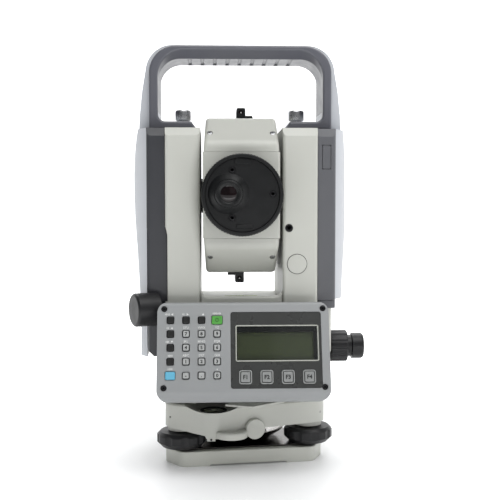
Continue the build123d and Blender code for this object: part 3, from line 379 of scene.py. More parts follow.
def make_lights():
    heart = (0, 0, 0.18)
    area_light("overhead", (0.14, -0.34, 0.84), (0, 0, 0.14), (0.8, 0.5), 4.6)
    area_light("top_back", (0.0, 0.45, 0.95), heart, (1.0, 0.5), 5.4)
    area_light("front_fill", (0.6, -1.7, 0.7), heart, (0.9, 0.9), 0.6)
    area_light("front_low", (0.05, -0.6, 0.02), (0, 0, 0.0), (0.6, 0.05), 0.3)
    area_light("side_right", (1.2, -0.1, 0.5), heart, (0.4, 0.8), 1.6)
    world = bpy.data.worlds.new("studio")
    world.use_nodes = True
    sky = world.node_tree.nodes["Background"]
    sky.inputs["Color"].default_value = (0.97, 0.985, 1.0, 1.0)
    sky.inputs["Strength"].default_value = 0.2
    bpy.context.scene.world = world
    bpy.context.scene.view_settings.view_transform = "Standard"


def make_backdrop():
    """Pale floor that curves up into a wall behind the object, lit from within away from the object."""
    material, tree, shader = new_material("backdrop")
    base = (0.92, 0.925, 0.93, 1.0)
    tree.links.new(blend(tree, noise(tree, 300.0), shade(base, 0.985), base), shader.inputs["Base Color"])
    shader.inputs["Roughness"].default_value = 0.4
    shader.inputs["Specular IOR Level"].default_value = 0.2
    shader.inputs["Emission Color"].default_value = (1.0, 1.0, 1.0, 1.0)
    place = add(tree, "TexCoord").outputs["Object"]
    away = add(tree, "VectorMath", {0: place}, operation="LENGTH").outputs["Value"]
    glow_start, glow_full = 0.03, 0.48
    tree.links.new(ramp(tree, away, glow_start, glow_full, 0.0, 0.9), shader.inputs["Emission Strength"])
    near, bend_start, bend_radius, top, half_width = -2.5, 1.2, 1.0, 3.2, 3.5
    profile = [(near, 0.0), (bend_start, 0.0)]
    steps = 16
    for k in range(1, steps + 1):
        turn = math.pi / 2 * k / steps
        profile.append((bend_start + bend_radius * math.sin(turn), bend_radius * (1 - math.cos(turn))))
    profile.append((bend_start + bend_radius, top))
    bm = bmesh.new()
    rows = [[bm.verts.new((x, y, z)) for x in (-half_width, half_width)] for y, z in profile]
    for a, b in zip(rows, rows[1:]):
        bm.faces.new((a[0], a[1], b[1], b[0]))
    mesh = bpy.data.meshes.new("backdrop")
    bm.to_mesh(mesh)
    bm.free()
    mesh.materials.append(material)
    mesh.shade_smooth()
    floor = bpy.data.objects.new("backdrop", mesh)
    bpy.context.scene.collection.objects.link(floor)


# ------------------------------------------------------------------ mesh building
def join_rings(bm, rings, cap_low=True, cap_high=True, material=0):
    """Faces between loops of the same number of vertices, with flat caps at the ends."""
    for low, high in zip(rings, rings[1:]):
        for k, vertex in enumerate(low):
            following = (k + 1) % len(low)
            face = bm.faces.new((vertex, low[following], high[following], high[k]))
            face.material_index = material
    if cap_low:
        bm.faces.new(list(reversed(rings[0]))).material_index = material
    if cap_high:
        bm.faces.new(rings[-1]).material_index = material


def ring_of(bm, points, z, place=Matrix()):
    return [bm.verts.new(place @ Vector((x, y, z))) for x, y in points]


def circle_points(radius, count):
    turns = [math.tau * k / count for k in range(count)]
    return [(radius * math.cos(turn), radius * math.sin(turn)) for turn in turns]


def rounded_points(width, height, corner, arc=5):
    """Rounded rectangle, counter-clockwise."""
    points = []
    for quarter, (sx, sy) in enumerate(((1, 1), (-1, 1), (-1, -1), (1, -1))):
        for k in range(arc + 1):
            turn = math.pi / 2 * (quarter + k / arc)
            points.append((sx * (width / 2 - corner) + corner * math.cos(turn),
                           sy * (height / 2 - corner) + corner * math.sin(turn)))
    return points


def turned(bm, profile, count=48, place=Matrix(), material=0):
    """Solid of revolution about z from (radius, height) points, closed by flat caps."""
    rings = [ring_of(bm, circle_points(radius, count), z, place) for radius, z in profile]
    join_rings(bm, rings, material=material)


def turned_ring(bm, profile, count=64, place=Matrix(), material=0):
    """Ring of revolution about z, from a closed outline of (radius, height) points."""
    rings = [ring_of(bm, circle_points(radius, count), z, place) for radius, z in profile]
    join_rings(bm, rings + [rings[0]], False, False, material)


def plate(bm, points, z0, z1, bevel=0.0, place=Matrix(), material=0):
    """Flat plate of an outline, its upper rim bevelled by scaling the outline in."""
    rings = [ring_of(bm, points, z0, place), ring_of(bm, points, z1 - bevel, place)]
    if bevel:
        half_x = max(x for x, _ in points)
        half_y = max(y for _, y in points)
        inner = [(x * (1 - bevel / half_x), y * (1 - bevel / half_y)) for x, y in points]
        rings.append(ring_of(bm, inner, z1, place))
    join_rings(bm, rings, material=material)


def framed(bm, outer, inner, z0, z1, round_over=0.0, place=Matrix(), material=0):
    """Flat frame between two outlines with the same number of points."""
    def eased(points, other, share):
        return [(x + (ox - x) * share, y + (oy - y) * share) for (x, y), (ox, oy) in zip(points, other)]
    rings = [ring_of(bm, inner, z0, place), ring_of(bm, outer, z0, place),
             ring_of(bm, outer, z1 - round_over, place)]
    if round_over:
        rings += [ring_of(bm, eased(outer, inner, share), z1, place) for share in (0.3, 0.7)]
    rings.append(ring_of(bm, inner, z1 - round_over, place))
    join_rings(bm, rings + [rings[0]], False, False, material)


def shifted(points, dx, dy):
    return [(x + dx, y + dy) for x, y in points]


def piece(name, body, slot, bm, place=Matrix(), materials=None, sharp=32.0, hides=()):
    """Object from a mesh built in millimetres, set at its place and riding on a body."""
    bmesh.ops.recalc_face_normals(bm, faces=bm.faces)
    bm.transform(place)
    mesh = bpy.data.meshes.new(name)
    bm.to_mesh(mesh)
    bm.free()
    for material in materials or [slot]:
        mesh.materials.append(MATERIALS[material])
    mesh.shade_smooth()
    mesh.set_sharp_from_angle(angle=math.radians(sharp))
    made = bpy.data.objects.new(name, mesh)
    bpy.context.scene.collection.objects.link(made)
    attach(made, body)
    if hides:
        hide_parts(*hides)
    return made


def text_faces(bm, text, height, z, thick, place=Matrix(), material=0, weight=0.02):
    """Lettering centred on the place: the built-in font's capitals at that height."""
    curve = bpy.data.curves.new("lettering", "FONT")
    curve.body = text
    cap_share = 0.7               # capitals' share of the font's size
    curve.size = height / cap_share
    curve.align_x = "CENTER"
    curve.offset = weight * height
    curve.extrude = thick / 2
    curve.resolution_u = 3
    holder = bpy.data.objects.new("lettering", curve)
    mesh = bpy.data.meshes.new_from_object(holder)
    start = len(bm.verts)
    first_face = len(bm.faces)
    bm.from_mesh(mesh)
    bm.verts.ensure_lookup_table()
    bm.faces.ensure_lookup_table()
    for vertex in bm.verts[start:]:
        vertex.co = place @ (vertex.co + Vector((0, -height / 2, z + thick / 2)))
    for face in bm.faces[first_face:]:
        face.material_index = material
    bpy.data.objects.remove(holder)
    bpy.data.curves.remove(curve)
    bpy.data.meshes.remove(mesh)


def socket_screw(bm, radius, height, place=Matrix(), hex_share=0.5, material=0):
    """Screw head with a rounded rim and a hexagon socket."""
    rim = 0.22 * radius
    socket = hex_share * radius
    count = 24
    hexagon = [hexagon_point(socket, math.tau * k / count) for k in range(count)]
    profile = [(radius, 0.0), (radius, height - rim), (radius - 0.3 * rim, height - 0.3 * rim),
               (radius - rim, height)]
    rings = [ring_of(bm, circle_points(r, count), z, place) for r, z in profile]
    rings.append(ring_of(bm, hexagon, height, place))
    rings.append(ring_of(bm, hexagon, height - 0.7 * radius, place))
    join_rings(bm, rings, material=material)


def hexagon_point(flat, angle):
    """Point of a regular hexagon's edge in a direction."""
    within = (angle + math.pi / 6) % (math.pi / 3) - math.pi / 6
    reach = flat / math.cos(within)
    return reach * math.cos(angle), reach * math.sin(angle)


# ------------------------------------------------------------------ panel
KEY_LABELS = {
    "key_r2c2": "7", "key_r2c3": "8", "key_r2c4": "9", "key_r3c2": "4", "key_r3c3": "5", "key_r3c4": "6",
    "key_r4c2": "1", "key_r4c3": "2", "key_r4c4": "3", "key_r5c2": "-", "key_r5c3": ".", "key_r5c4": "0",
    "key_f1": "F1", "key_f2": "F2", "key_f3": "F3", "key_f4": "F4",
}
LETTER_GROUPS = {
    "key_r2c2": "STU", "key_r2c3": "VWX", "key_r2c4": "YZ", "key_r3c2": "JKL", "key_r3c3": "MNO",
    "key_r3c4": "PQR", "key_r4c2": "ABC", "key_r4c3": "DEF", "key_r4c4": "GHI",
}
# strokes printed above keys, each a count and where it starts beside the key's centre
TICKS = {
    "key_r1c1": (4, -3.9), "key_r1c2": (2, -2.6), "key_r1c4": (7, -3.0), "key_r2c1": (2, -2.6),
    "key_r3c1": (3, -3.2), "key_r4c1": (4, -1.5), "key_r5c1": (4, -1.5), "key_r5c4": (1, 0.0),
}
ARROWS = {"key_r1c1": 180, "key_r1c2": 0, "key_r1c3": 90, "key_r2c1": 90, "key_r3c1": -90}


def slot_of(node):
    return next(part["material_slot"] for part in frame["record"]["subparts"] if part["node"] == node)


def key_cap(node):
    """Moulded cap: skirt below the face, tapered sides, a slightly hollow top and its printed mark."""
    low, high = panel_extent(node, above=PANEL_O.z - 1)
    width, height = high.x - low.x, high.y - low.y
    proud = high.z - PANEL_O.z
    slot = slot_of(node)
    # painted shade: the light keys' tapered sides are dark grey for the shade on them; other keys keep one colour
    side = {"key_light": "key_side_shade"}.get(slot, slot)
    function_key = node.startswith("key_f")
    inset = 0.35 if function_key else 0.55
    corner = 0.9
    below = -2.2
    # each section: how far it is drawn in, its height, and 1 where it belongs to the cap's face
    sections = [(0.0, below, 0), (0.0, 0.15 * proud, 0), (0.25 * inset, 0.6 * proud, 0),
                (0.8 * inset, 0.9 * proud, 0), (inset + 0.15, proud, 1), (inset + 0.55, proud - 0.06, 1),
                (inset + 1.1, proud - 0.12, 1)]
    bm = bmesh.new()
    rings = []
    for shrink, z, _ in sections:
        outline = rounded_points(width - 2 * shrink, height - 2 * shrink, max(0.25, corner - 0.5 * shrink))
        rings.append(ring_of(bm, outline, z))
    for k, (a, b) in enumerate(zip(rings, rings[1:])):
        join_rings(bm, [a, b], k == 0, k == len(rings) - 2, material=sections[k + 1][2])
    if node in KEY_LABELS:
        letters = 2.9 if function_key else 2.4
        text_faces(bm, KEY_LABELS[node], letters, proud - 0.13, 0.05, material=2, weight=0.05)
    if node == "key_r1c4":
        power_mark(bm, proud - 0.13)
    centre = (low + high) / 2 - PANEL_O
    face = "function_key" if function_key else slot
    piece(node + "_cap", node, slot, bm, on_panel(centre.x, centre.y), [side, face, "dark_ink"], hides=[node])


def power_mark(bm, z):
    """Ring with a bar, the usual mark of a power key."""
    outer, inner, thick = 1.5, 1.15, 0.05
    framed(bm, circle_points(outer, 32), circle_points(inner, 32), z, z + thick, material=2)
    bar = shifted(rounded_points(0.34, 1.7, 0.1, 2), 0, 0.25)
    plate(bm, bar, z, z + thick, material=2)


def panel_print():
    """White marks printed above the keys: arrows on the dark keys, letter groups on the digits."""
    bm = bmesh.new()
    thick = 0.05
    for node, turn in ARROWS.items():
        low, high = panel_extent(node, above=PANEL_O.z - 1)
        centre = (low + high) / 2 - PANEL_O
        spot = Matrix.Translation((centre.x + 1.2, high.y - PANEL_O.y + 1.9, 0))
        arrow = Matrix.Rotation(math.radians(turn), 4, "Z")
        plate(bm, [(-0.75, -0.95), (0.95, 0.0), (-0.75, 0.95)], 0.0, thick, place=spot @ arrow)
    for node, (count, start) in TICKS.items():
        low, high = panel_extent(node, above=PANEL_O.z - 1)
        centre = (low + high) / 2 - PANEL_O
        for k in range(count):
            tick = shifted(rounded_points(0.5, 1.3 + 0.35 * (k % 2), 0.12, 2), centre.x + start + 0.95 * k, 0)
            plate(bm, tick, 0.0, thick, place=Matrix.Translation((0, high.y - PANEL_O.y + 1.9, 0)))
    for node, letters in LETTER_GROUPS.items():
        low, high = panel_extent(node, above=PANEL_O.z - 1)
        centre = (low + high) / 2 - PANEL_O
        text_faces(bm, letters, 1.7, 0.0, thick, Matrix.Translation((centre.x, high.y - PANEL_O.y + 2.2, 0)))
    piece("panel_print", "alidade", "panel_grey", bm, on_panel(n=0.0), ["white_ink"])


LCD_HOLE = (-30.0, 31.6, -7.9, 18.1)     # left, right, low, high, from the window's centre
LCD_LINE = 0.85
PANEL_SCREW_U = (-84.95, 36.25)          # across, from the window's centre
PANEL_SCREW_V = (-28.25, 31.65)          # up the slope


def rect_points(left, right, low, high, corner, arc=5):
    outline = rounded_points(right - left, high - low, corner, arc)
    return shifted(outline, (left + right) / 2, (low + high) / 2)


def window_pieces():
    """Printed window with a hole for the display and one for each function key, and the display behind it."""
    low, high = panel_extent("display_window")
    half_w, half_h = (high.x - low.x) / 2, (high.y - low.y) / 2
    back, front = low.z - PANEL_O.z, high.z - PANEL_O.z
    left, right, bottom, top = LCD_HOLE
    keys = [panel_extent(f"key_f{k}", above=PANEL_O.z - 1) for k in range(1, 5)]
    bm = bmesh.new()
    sheet = rounded_points(2 * half_w, 2 * half_h, 1.9, 6)
    holes = [rect_points(left, right, bottom, top, 0.5)]
    for key_low, key_high in keys:
        clear = 0.35
        holes.append(rect_points(key_low.x - PANEL_O.x - clear, key_high.x - PANEL_O.x + clear,
                                 key_low.y - PANEL_O.y - clear, key_high.y - PANEL_O.y + clear, 1.2))
    punched_plate(bm, sheet, holes, back, front)
    piece("window_plate", "alidade", "window_charcoal", bm, on_panel(), sharp=1.0, hides=["display_window"])

    bm = bmesh.new()
    line = LCD_LINE
    framed(bm, rect_points(left - line, right + line, bottom - line, top + line, 1.3),
           rect_points(left, right, bottom, top, 0.5), front - 0.1, front + 0.25, 0.12)
    piece("display_frame", "alidade", "panel_grey", bm, on_panel(), ["frame_line"])

    bm = bmesh.new()
    for key_low, key_high in keys:
        clear, rim = 0.3, 1.15
        x0, x1 = key_low.x - PANEL_O.x, key_high.x - PANEL_O.x
        y0, y1 = key_low.y - PANEL_O.y, key_high.y - PANEL_O.y
        framed(bm, rect_points(x0 - rim, x1 + rim, y0 - rim, y1 + rim, 1.9),
               rect_points(x0 - clear, x1 + clear, y0 - clear, y1 + clear, 1.15), front - 0.1, 0.55, 0.3)
    piece("function_key_bezels", "alidade", "key_light", bm, on_panel(), ["key_bezel"])

    bm = bmesh.new()
    plate(bm, rect_points(left - 0.2, right + 0.2, bottom - 0.2, top + 0.2, 0.5), back + 0.2, front - 0.25)
    piece("display_pane", "alidade", "window_charcoal", bm, on_panel(), ["pane"])

    # black inner bezel behind the window: partly a real bezel, its band widest at the top and right to paint the
    # recess's shadow on the display
    bm = bmesh.new()
    depth = -6.4
    framed(bm, rect_points(left - 0.9, right + 0.9, bottom - 0.9, top + 0.9, 0.5),
           rect_points(left + 0.4, right - 2.6, bottom + 0.3, top - 4.0, 0.4), depth, back - 0.05)
    piece("lcd_bezel_and_shadow", "alidade", "window_charcoal", bm, on_panel(), ["black_optics"])
    bm = bmesh.new()
    plate(bm, rect_points(left - 0.9, right + 0.9, bottom - 0.9, top + 0.9, 0.5), depth - 1.0, depth)
    piece("display_cell", "alidade", "window_charcoal", bm, on_panel(), ["display"])


def punched_plate(bm, outline, holes, z0, z1):
    """Plate with holes: its face is filled between all outlines at once."""
    loops = [outline] + [list(reversed(hole)) for hole in holes]
    edges = []
    for loop in loops:
        ring = ring_of(bm, loop, z1)
        edges += [bm.edges.new((a, b)) for a, b in zip(ring, ring[1:] + ring[:1])]
    filled = bmesh.ops.triangle_fill(bm, use_beauty=True, use_dissolve=False, edges=edges)
    faces = [f for f in filled["geom"] if isinstance(f, bmesh.types.BMFace)]
    grown = bmesh.ops.extrude_face_region(bm, geom=faces)
    moved = [v for v in grown["geom"] if isinstance(v, bmesh.types.BMVert)]
    bmesh.ops.translate(bm, verts=moved, vec=(0, 0, z0 - z1))


def panel_screws():
    """Black socket screws sunk in the panel's corners."""
    bm = bmesh.new()
    for u in PANEL_SCREW_U:
        for v in PANEL_SCREW_V:
            socket_screw(bm, 2.2, 1.5, Matrix.Translation((u, v, -1.6)))
    piece("panel_screws", "alidade", "black_knob", bm, on_panel())


# ------------------------------------------------------------------ telescope
TRUNNION = Vector(JOINTS["telescope_tilt"]["pos_m"]) / MM
OPERATOR = (0, -1, 0)
COVER_SCREW = (24.9, 38.4, 48.4)         # seats on the covers' slopes, from the trunnion
COVER_SLOPE = (0.68, 0.733)
EYE_PLATE_BACK = 1.9                     # the eyepiece plate lies this far behind the focusing ring's front
EYE_SCREWS = ((-7.8, 19.0), (-7.8, -17.5), (23.3, 0.8))
# left, right, low and high of the raised bars on the eyepiece plate
GRIP_BARS = ((-5.9, 6.4, 23.2, 27.2), (-4.8, 8.1, -25.4, -22.6))
OBJECTIVE_RECESS = 9.0


def ridged_points(radius, count, height, per_ridge=6):
    """Outline of a knurled wheel, with rounded ridges."""
    points = []
    for k in range(count * per_ridge):
        turn = math.tau * k / (count * per_ridge)
        reach = radius + height * (0.5 + 0.5 * math.cos(count * turn)) ** 0.6
        points.append((reach * math.cos(turn), reach * math.sin(turn)))
    return points


def scaled(points, share):
    return [(x * share, y * share) for x, y in points]


def knurled_band(bm, radius, z0, z1, count, height, place=Matrix(), material=0):
    """Ridged sleeve on a cylinder, its ridges fading at both ends."""
    ridges = ridged_points(radius - 0.05, count, height)
    plain = circle_points(radius - 0.05, len(ridges))
    ease = min(0.6, 0.2 * (z1 - z0))
    rings = [ring_of(bm, plain, z0, place), ring_of(bm, ridges, z0 + ease, place),
             ring_of(bm, ridges, z1 - ease, place), ring_of(bm, plain, z1, place)]
    join_rings(bm, rings, material=material)


def dome(radius, height, steps=7):
    """Profile of a lens cap over a disc: radius and height points, rim to crown."""
    points = []
    for k in range(steps + 1):
        turn = math.pi / 2 * k / steps
        points.append((max(0.02, radius * math.cos(turn)), height * math.sin(turn)))
    return points


def telescope_pieces():
    eye_side = at(TRUNNION, OPERATOR, PANEL_U)
    bm = bmesh.new()
    sx, sy, sz = COVER_SCREW
    for side in (-1, 1):
        for front in (-1, 1):
            for up in (-1, 1):
                seat = TRUNNION + Vector((side * sx, front * sy, up * sz))
                out = (0, front * COVER_SLOPE[0], up * COVER_SLOPE[1])
                socket_screw(bm, 2.1, 1.25, Matrix.Scale(1 / MM, 4) @ at(seat, out), hex_share=0.3)
    piece("cover_screws", "telescope", "light_paint", bm, Matrix.Scale(MM, 4), ["bright_screw"])

    plate_z = TRUNNION.y - lowest("focusing_ring").y - EYE_PLATE_BACK
    bm = bmesh.new()
    for x, y in EYE_SCREWS:
        spot = Matrix.Translation((x, y, plate_z))
        turned_ring(bm, [(2.3, 0.0), (2.9, 0.0), (2.9, 0.25), (2.3, 0.25)], 32, spot)
        socket_screw(bm, 1.9, 0.45, spot, hex_share=0.55)
    piece("eye_plate_screws", "telescope", "black_optics", bm, eye_side, ["steel_dark"])

    bm = bmesh.new()
    for x0, x1, y0, y1 in GRIP_BARS:
        bar = rounded_points(x1 - x0, y1 - y0, 0.6, 3)
        spot = Matrix.Translation(((x0 + x1) / 2, (y0 + y1) / 2, plate_z - 0.1))
        plate(bm, bar, 0.0, 1.1, 0.3, spot)
    piece("eye_plate_grips", "telescope", "black_optics", bm, eye_side)

    eye = middle("eyepiece") - TRUNNION
    eye_front = TRUNNION.y - lowest("eyepiece").y
    eye_axis = eye_side @ Matrix.Translation((eye.x, eye.z, 0))
    bm = bmesh.new()
    turned(bm, [(6.9, eye_front - 2.1)] + [(r, eye_front - 2.0 + z) for r, z in dome(6.9, 1.7)], 48)
    piece("eyepiece_lens", "eyepiece", "black_optics", bm, eye_axis, ["eye_lens"])
    bm = bmesh.new()
    turned_ring(bm, [(8.15, eye_front - 2.0), (8.15, eye_front - 0.5), (7.6, eye_front - 0.6),
                     (6.4, eye_front - 1.5), (6.4, eye_front - 2.0)], 64)
    knurled_band(bm, 10.4, eye_front - 4.2, eye_front - 1.2, 40, 0.3)
    piece("eyepiece_rings", "eyepiece", "black_optics", bm, eye_axis)

    ring_back = TRUNNION.y - highest("focusing_ring").y
    ring_front = TRUNNION.y - lowest("focusing_ring").y
    ring_radius = (highest("focusing_ring").x - lowest("focusing_ring").x) / 2
    bm = bmesh.new()
    knurled_band(bm, ring_radius, ring_back + 2.5, ring_front - 3.0, 84, 0.45)
    piece("focusing_ring_grip", "focusing_ring", "black_optics", bm, eye_side, ["rubber"])

    far_side = at(TRUNNION, (0, 1, 0), (-1, 0, 0))
    glass_z = highest("telescope_tube").y - TRUNNION.y - OBJECTIVE_RECESS
    bm = bmesh.new()
    turned(bm, [(20.4, glass_z - 0.2)] + [(r, glass_z + z) for r, z in dome(20.4, 4.2, 12)], 72)
    piece("objective_lens", "telescope", "black_optics", bm, far_side, ["front_lens"])
    bm = bmesh.new()
    outer = 22.95
    for inner, low, high in ((20.2, 0.0, 2.2), (21.4, 2.2, 3.4), (22.0, 3.4, 5.6)):
        turned_ring(bm, [(inner, glass_z + low), (outer, glass_z + low), (outer, glass_z + high),
                         (inner + 0.3, glass_z + high), (inner, glass_z + high - 0.4)], 96)
    for side in (-1, 1):
        slot_cut = rounded_points(2.6, 1.4, 0.2, 2)
        plate(bm, slot_cut, glass_z + 2.2, glass_z + 2.9, place=Matrix.Translation((side * 21.0, 0, 0)))
    piece("objective_rings", "telescope", "black_optics", bm, far_side)

    # collimator windows in both ends of both sights
    bm = bmesh.new()
    low, high = lowest("sights"), highest("sights")
    bore_x, bore_drop, bore_in = 0.6, 3.6, 0.9
    for up in (-1, 1):
        spot_x = TRUNNION.x + (bore_x if up == 1 else -bore_x)
        spot_z = high.z - bore_drop if up == 1 else low.z + bore_drop
        for y, out in ((low.y + bore_in, -1), (high.y - bore_in, 1)):
            place = Matrix.Scale(1 / MM, 4) @ at((spot_x, y, spot_z), (0, out, 0), PANEL_U)
            turned(bm, [(1.95, -0.4)] + dome(1.95, 0.35, 4), 24, place)
            plate(bm, [(-0.55, -0.5), (0.55, -0.5), (0.0, 0.6)], 0.3, 0.42, place=place, material=1)
    piece("sight_windows", "telescope", "black_optics", bm, Matrix.Scale(MM, 4), ["eye_lens", "white_ink"])


# ------------------------------------------------------------------ standards, levels, handle
# across and up on the right standard's front
ARM_SCREW = (37.3, 188.8)
ARM_CAP = (43.7, 160.4)
ARM_CAP_R = 7.6


def standard_pieces():
    front = lowest("yoke_frame").y
    bm = bmesh.new()
    turned(bm, [(ARM_CAP_R, -0.5), (ARM_CAP_R, 0.45), (ARM_CAP_R - 0.15, 0.7), (ARM_CAP_R - 0.5, 0.8),
                (0.02, 0.85)], 72)
    gap = ARM_CAP_R + 0.4
    turned_ring(bm, [(ARM_CAP_R, -0.5), (gap, -0.5), (gap, 0.06), (ARM_CAP_R, 0.06)], 72, material=1)
    seat = at((ARM_CAP[0], front, ARM_CAP[1]), OPERATOR, PANEL_U)
    piece("standard_cap", "alidade", "light_paint", bm, seat, ["light_paint", "steel_dark"])
    bm = bmesh.new()
    turned_ring(bm, [(2.5, -0.3), (3.15, -0.3), (3.15, 0.25), (2.95, 0.4), (2.5, 0.3)], 40)
    socket_screw(bm, 2.5, 0.25, hex_share=0.6)
    seat = at((ARM_SCREW[0], front, ARM_SCREW[1]), OPERATOR, PANEL_U)
    piece("standard_screw", "alidade", "black_knob", bm, seat, ["steel_dark"])


def level_pieces():
    """Circular level of the tribrach and plate level between the standards."""
    low, high = lowest("circular_level"), highest("circular_level")
    centre = middle("circular_level")
    radius = (high.x - low.x) / 2
    tall = high.z - low.z
    seat = at((centre.x, centre.y, low.z), UP, PANEL_U)
    bm = bmesh.new()
    turned_ring(bm, [(radius - 1.9, tall - 0.7), (radius - 1.5, tall), (radius - 0.4, tall),
                     (radius, tall - 0.4), (radius, 0.0), (radius - 1.9, 0.0)], 64)
    glass = radius - 1.85
    crown = [(r, tall - 0.9 + z) for r, z in dome(glass, 0.8)[1:]]
    turned(bm, [(glass, 0.5), (glass, tall - 0.9)] + crown, 64, material=1)
    mark = [(3.0, tall - 0.2), (3.3, tall - 0.2), (3.3, tall - 0.1), (3.0, tall - 0.1)]
    turned_ring(bm, mark, 48, material=2)
    turned(bm, [(2.3, tall - 0.4), (2.3, tall - 0.16), (1.9, tall - 0.08)], 32,
           Matrix.Translation((0.4, -0.3, 0)), material=3)
    piece("circular_level_vial", "tribrach", "level_vial", bm, seat,
          ["black_optics", "level_vial", "dark_ink", "bubble"], hides=["circular_level"])

    low, high = lowest("plate_level"), highest("plate_level")
    centre = middle("plate_level")
    size = high - low
    bm = bmesh.new()
    opening = rounded_points(size.x - 7, size.y - 2.4, 0.8)
    framed(bm, rounded_points(size.x, size.y, 1.2), opening, 0.0, 4.5, 0.4)
    plate(bm, rounded_points(size.x - 6.6, size.y - 2.2, 0.8), 0.0, 0.8)
    tube = Matrix.Translation((-size.x / 2 + 3, 0, 3.0)) @ Matrix.Rotation(math.pi / 2, 4, "Y")
    length = size.x - 6
    turned(bm, [(2.6, 0.0), (3.1, 0.4), (3.1, length - 0.4), (2.6, length)], 40, tube, material=1)
    for share in (0.36, 0.44, 0.56, 0.64):
        spot = share * length
        mark = [(3.05, spot), (3.17, spot), (3.17, spot + 0.3), (3.05, spot + 0.3)]
        turned_ring(bm, mark, 40, tube, material=2)
    turned(bm, [(0.6, 0.46 * length), (0.9, 0.47 * length), (0.9, 0.55 * length), (0.6, 0.56 * length)], 20,
           Matrix.Translation((0, 0, 2.4)) @ tube, material=3)
    for end in (-1, 1):
        socket_screw(bm, 1.3, 0.6, Matrix.Translation((end * (size.x / 2 - 1.7), 0, 4.3)), material=4)
    piece("plate_level_vial", "alidade", "level_vial", bm, at((centre.x, centre.y, low.z), UP, PANEL_U),
          ["dark_shell", "vial_glass", "dark_ink", "bubble", "steel_dark"], hides=["plate_level"])


def handle_screws():
    """Knurled captive screws of the handle."""
    head_h = 8.4
    for side in ("left", "right"):
        node = f"handle_screw_{side}"
        centre, low, high = middle(node), lowest(node), highest(node)
        radius = (high.x - low.x) / 2
        top = high.z - low.z
        foot = top - head_h
        bm = bmesh.new()
        turned(bm, [(3.0, 0.0), (3.0, foot)], 32)
        turned(bm, [(radius - 1.4, foot - 1.9), (radius - 1.4, foot + 0.3)], 48)
        ridges = ridged_points(radius - 0.2, 40, 0.2, 4)
        plain = circle_points(radius - 0.2, len(ridges))
        rings = [ring_of(bm, scaled(plain, 0.9), foot), ring_of(bm, plain, foot + 0.5),
                 ring_of(bm, ridges, foot + 0.9), ring_of(bm, ridges, top - 1.0),
                 ring_of(bm, plain, top - 0.6), ring_of(bm, scaled(plain, 0.94), top)]
        join_rings(bm, rings)
        piece(node + "_knurled", node, "bright_screw", bm, at((centre.x, centre.y, low.z), UP, PANEL_U),
              hides=[node])

    # dark seal between the handle's feet and the standards
    feet_z, inner, thick = highest("yoke_frame").z, 36.0, 0.5
    grip_low, grip_high = lowest("handle_grip"), highest("handle_grip")
    bm = bmesh.new()
    for side in (-1, 1):
        width = grip_high.x - inner
        pad = rounded_points(width + 0.3, grip_high.y - grip_low.y + 0.3, 1.0)
        plate(bm, shifted(pad, side * (inner + width / 2), 0), 0.0, thick)
    piece("handle_seals", "handle", "black_knob", bm, at((0, 0, feet_z), UP, PANEL_U), ["rubber"])


# ------------------------------------------------------------------ tribrach
# foot screw that each grub screw is beside, its direction in degrees and its radius
GRUB_SCREWS = (("foot_screw_right", 270, 1.3), ("foot_screw_right", 315, 0.8), ("foot_screw_left", 228, 0.8),
               ("foot_screw_rear", 60, 1.3), ("foot_screw_rear", 130, 0.8))
LOBE_R = 13.0                            # of the body's rounded corners, about each foot screw
GRUB_Z = 39.0
LUG_SCREW = (-24.2, 25.0)                # across and up, on the lug below the front lobe


def flange_rib():
    """Fine raised double line along the flange's front edges, to the right of its corner, in bright steel that
    paints the highlight of that lit edge.
    """
    plate_edge = 45.0             # only the plate's corners lie further out than this
    edge = [vertex.co / MM for vertex in NODES["base_flange"].data.vertices]
    rim = [p for p in edge if p.xy.length > plate_edge]
    top = max(p.z for p in rim)
    rim = [p for p in rim if p.z > top - 0.1]
    corner = min(rim, key=lambda p: p.y)
    along = max((p for p in rim if p.y < 0), key=lambda p: p.x)
    run = (along - corner).normalized()
    inward = Vector((-run.y, run.x, 0))
    bm = bmesh.new()
    for inset, wide in ((2.0, 0.7), (4.2, 0.5)):
        start = corner + 3 * run + inset * inward
        end = corner + 26 * run + inset * inward
        side = wide / 2 * inward
        points = [start - side, end - side, end + side, start + side]
        plate(bm, [(p.x, p.y) for p in points], top - 0.1, top + 0.3)
    piece("flange_rib", "tribrach", "light_paint", bm, at((0, 0, 0), UP), ["bright_screw"])


def foot_collars():
    """Light sleeve over each front foot screw's knob."""
    bm = bmesh.new()
    for side in ("left", "right"):
        node = f"foot_screw_{side}"
        spot = Matrix.Translation(middle(node).xy.to_3d())
        knob_top = 26.2           # the stem goes on up from here, so the node's own top is higher
        body_low = lowest("tribrach_body").z
        low = max(knob_top, body_low) + 0.3
        turned_ring(bm, [(6.0, low), (12.4, low), (12.4, 30.4), (11.6, 31.4), (6.0, 31.4)], 64, spot)
    piece("foot_collars", "tribrach", "light_paint", bm, at((0, 0, 0), UP))


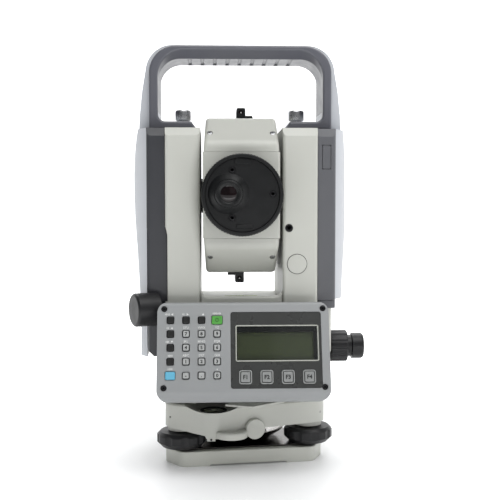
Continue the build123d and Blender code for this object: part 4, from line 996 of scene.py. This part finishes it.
def tribrach_pieces():
    flange_rib()
    foot_collars()
    bm = bmesh.new()
    upright = Matrix.Scale(1 / MM, 4)
    for foot, turn, radius in GRUB_SCREWS:
        out = Vector((math.cos(math.radians(turn)), math.sin(math.radians(turn)), 0))
        spot = middle(foot) + LOBE_R * out
        spot.z = GRUB_Z
        socket_screw(bm, radius, 0.3, upright @ at(spot - 0.15 * out, out), hex_share=0.6)
    lug = Vector((LUG_SCREW[0], lowest("tribrach_body").y + 0.15, LUG_SCREW[1]))
    socket_screw(bm, 0.9, 0.3, upright @ at(lug, OPERATOR), hex_share=0.6)
    piece("grub_screws", "tribrach", "light_paint", bm, Matrix.Scale(MM, 4), ["steel_dark"])

    # dished spring washer over the spring plate, and the steel bush that it bears on
    dome_top = highest("spring_plate").z
    bm = bmesh.new()
    turned_ring(bm, [(14.0, -3.4), (24.0, -4.2), (31.0, -2.6), (36.0, 0.6), (38.0, 3.2), (37.5, 3.6),
                     (35.5, 1.2), (30.6, -1.9), (24.0, -3.4), (14.0, -2.6)], 120)
    piece("spring_washer", "tribrach", "spring_steel", bm, at((0, 0, dome_top), UP), ["washer_steel"])
    bm = bmesh.new()
    turned(bm, [(13.6, -2.8), (14.0, -2.4), (14.0, 3.0), (12.6, 3.6), (12.6, 15.0)], 72)
    piece("centre_bush", "tribrach", "spring_steel", bm, at((0, 0, dome_top), UP), ["washer_steel"])


# ------------------------------------------------------------------ back and sides
def housing_pieces():
    """Service cover, connector cap and battery seat of the lower housing."""
    low, high = lowest("lower_housing"), highest("lower_housing")
    behind = at((0, high.y, 88.0), (0, 1, 0), (-1, 0, 0))
    cover_w, cover_h = 72.0, 44.0
    bm = bmesh.new()
    plate(bm, rounded_points(cover_w, cover_h, 6.0), -0.4, 1.6, 0.7)
    piece("service_cover", "alidade", "light_paint", bm, behind)
    bm = bmesh.new()
    inset = 5.0
    for x in (-1, 1):
        for y in (-1, 1):
            spot = Matrix.Translation((x * (cover_w / 2 - inset), y * (cover_h / 2 - inset), 1.5))
            turned_ring(bm, [(2.2, 0.0), (2.9, 0.0), (2.9, 0.22), (2.2, 0.12)], 40, spot)
            socket_screw(bm, 2.2, 0.9, spot)
    piece("service_cover_screws", "alidade", "light_paint", bm, behind, ["steel_dark"])
    bm = bmesh.new()
    port = Matrix.Translation((-18.0, 0, 0))
    turned_ring(bm, [(7.4, 1.4), (9.2, 1.4), (9.2, 2.6), (8.6, 3.2), (7.4, 3.2)], 64, port)
    turned(bm, [(7.3, 1.4), (7.3, 3.9), (6.7, 4.6), (0.02, 4.8)], 64, port)
    knurled_band(bm, 7.3, 3.0, 4.2, 30, 0.3, port)
    piece("connector_cap", "alidade", "black_knob", bm, behind, ["rubber"])

    case_low, case_high = lowest("battery_case"), highest("battery_case")
    seat_top, thick = case_low.z - 0.3, 6.2
    bm = bmesh.new()
    wide, deep = case_high.x - case_low.x, case_high.y - case_low.y - 0.8
    plate(bm, rounded_points(wide, deep, 2.6), 0.0, thick)
    centre = middle("battery_case")
    seat = at((centre.x, centre.y, seat_top - thick), UP, PANEL_U)
    piece("battery_seat", "alidade", "dark_shell", bm, seat)


# ------------------------------------------------------------------ assembly of the scene
def build():
    dress_frame()
    for node in NODES:
        if node.startswith("key_"):
            key_cap(node)
    panel_print()
    window_pieces()
    panel_screws()
    telescope_pieces()
    standard_pieces()
    level_pieces()
    handle_screws()
    tribrach_pieces()
    housing_pieces()


make_camera()
make_lights()
make_backdrop()
build()
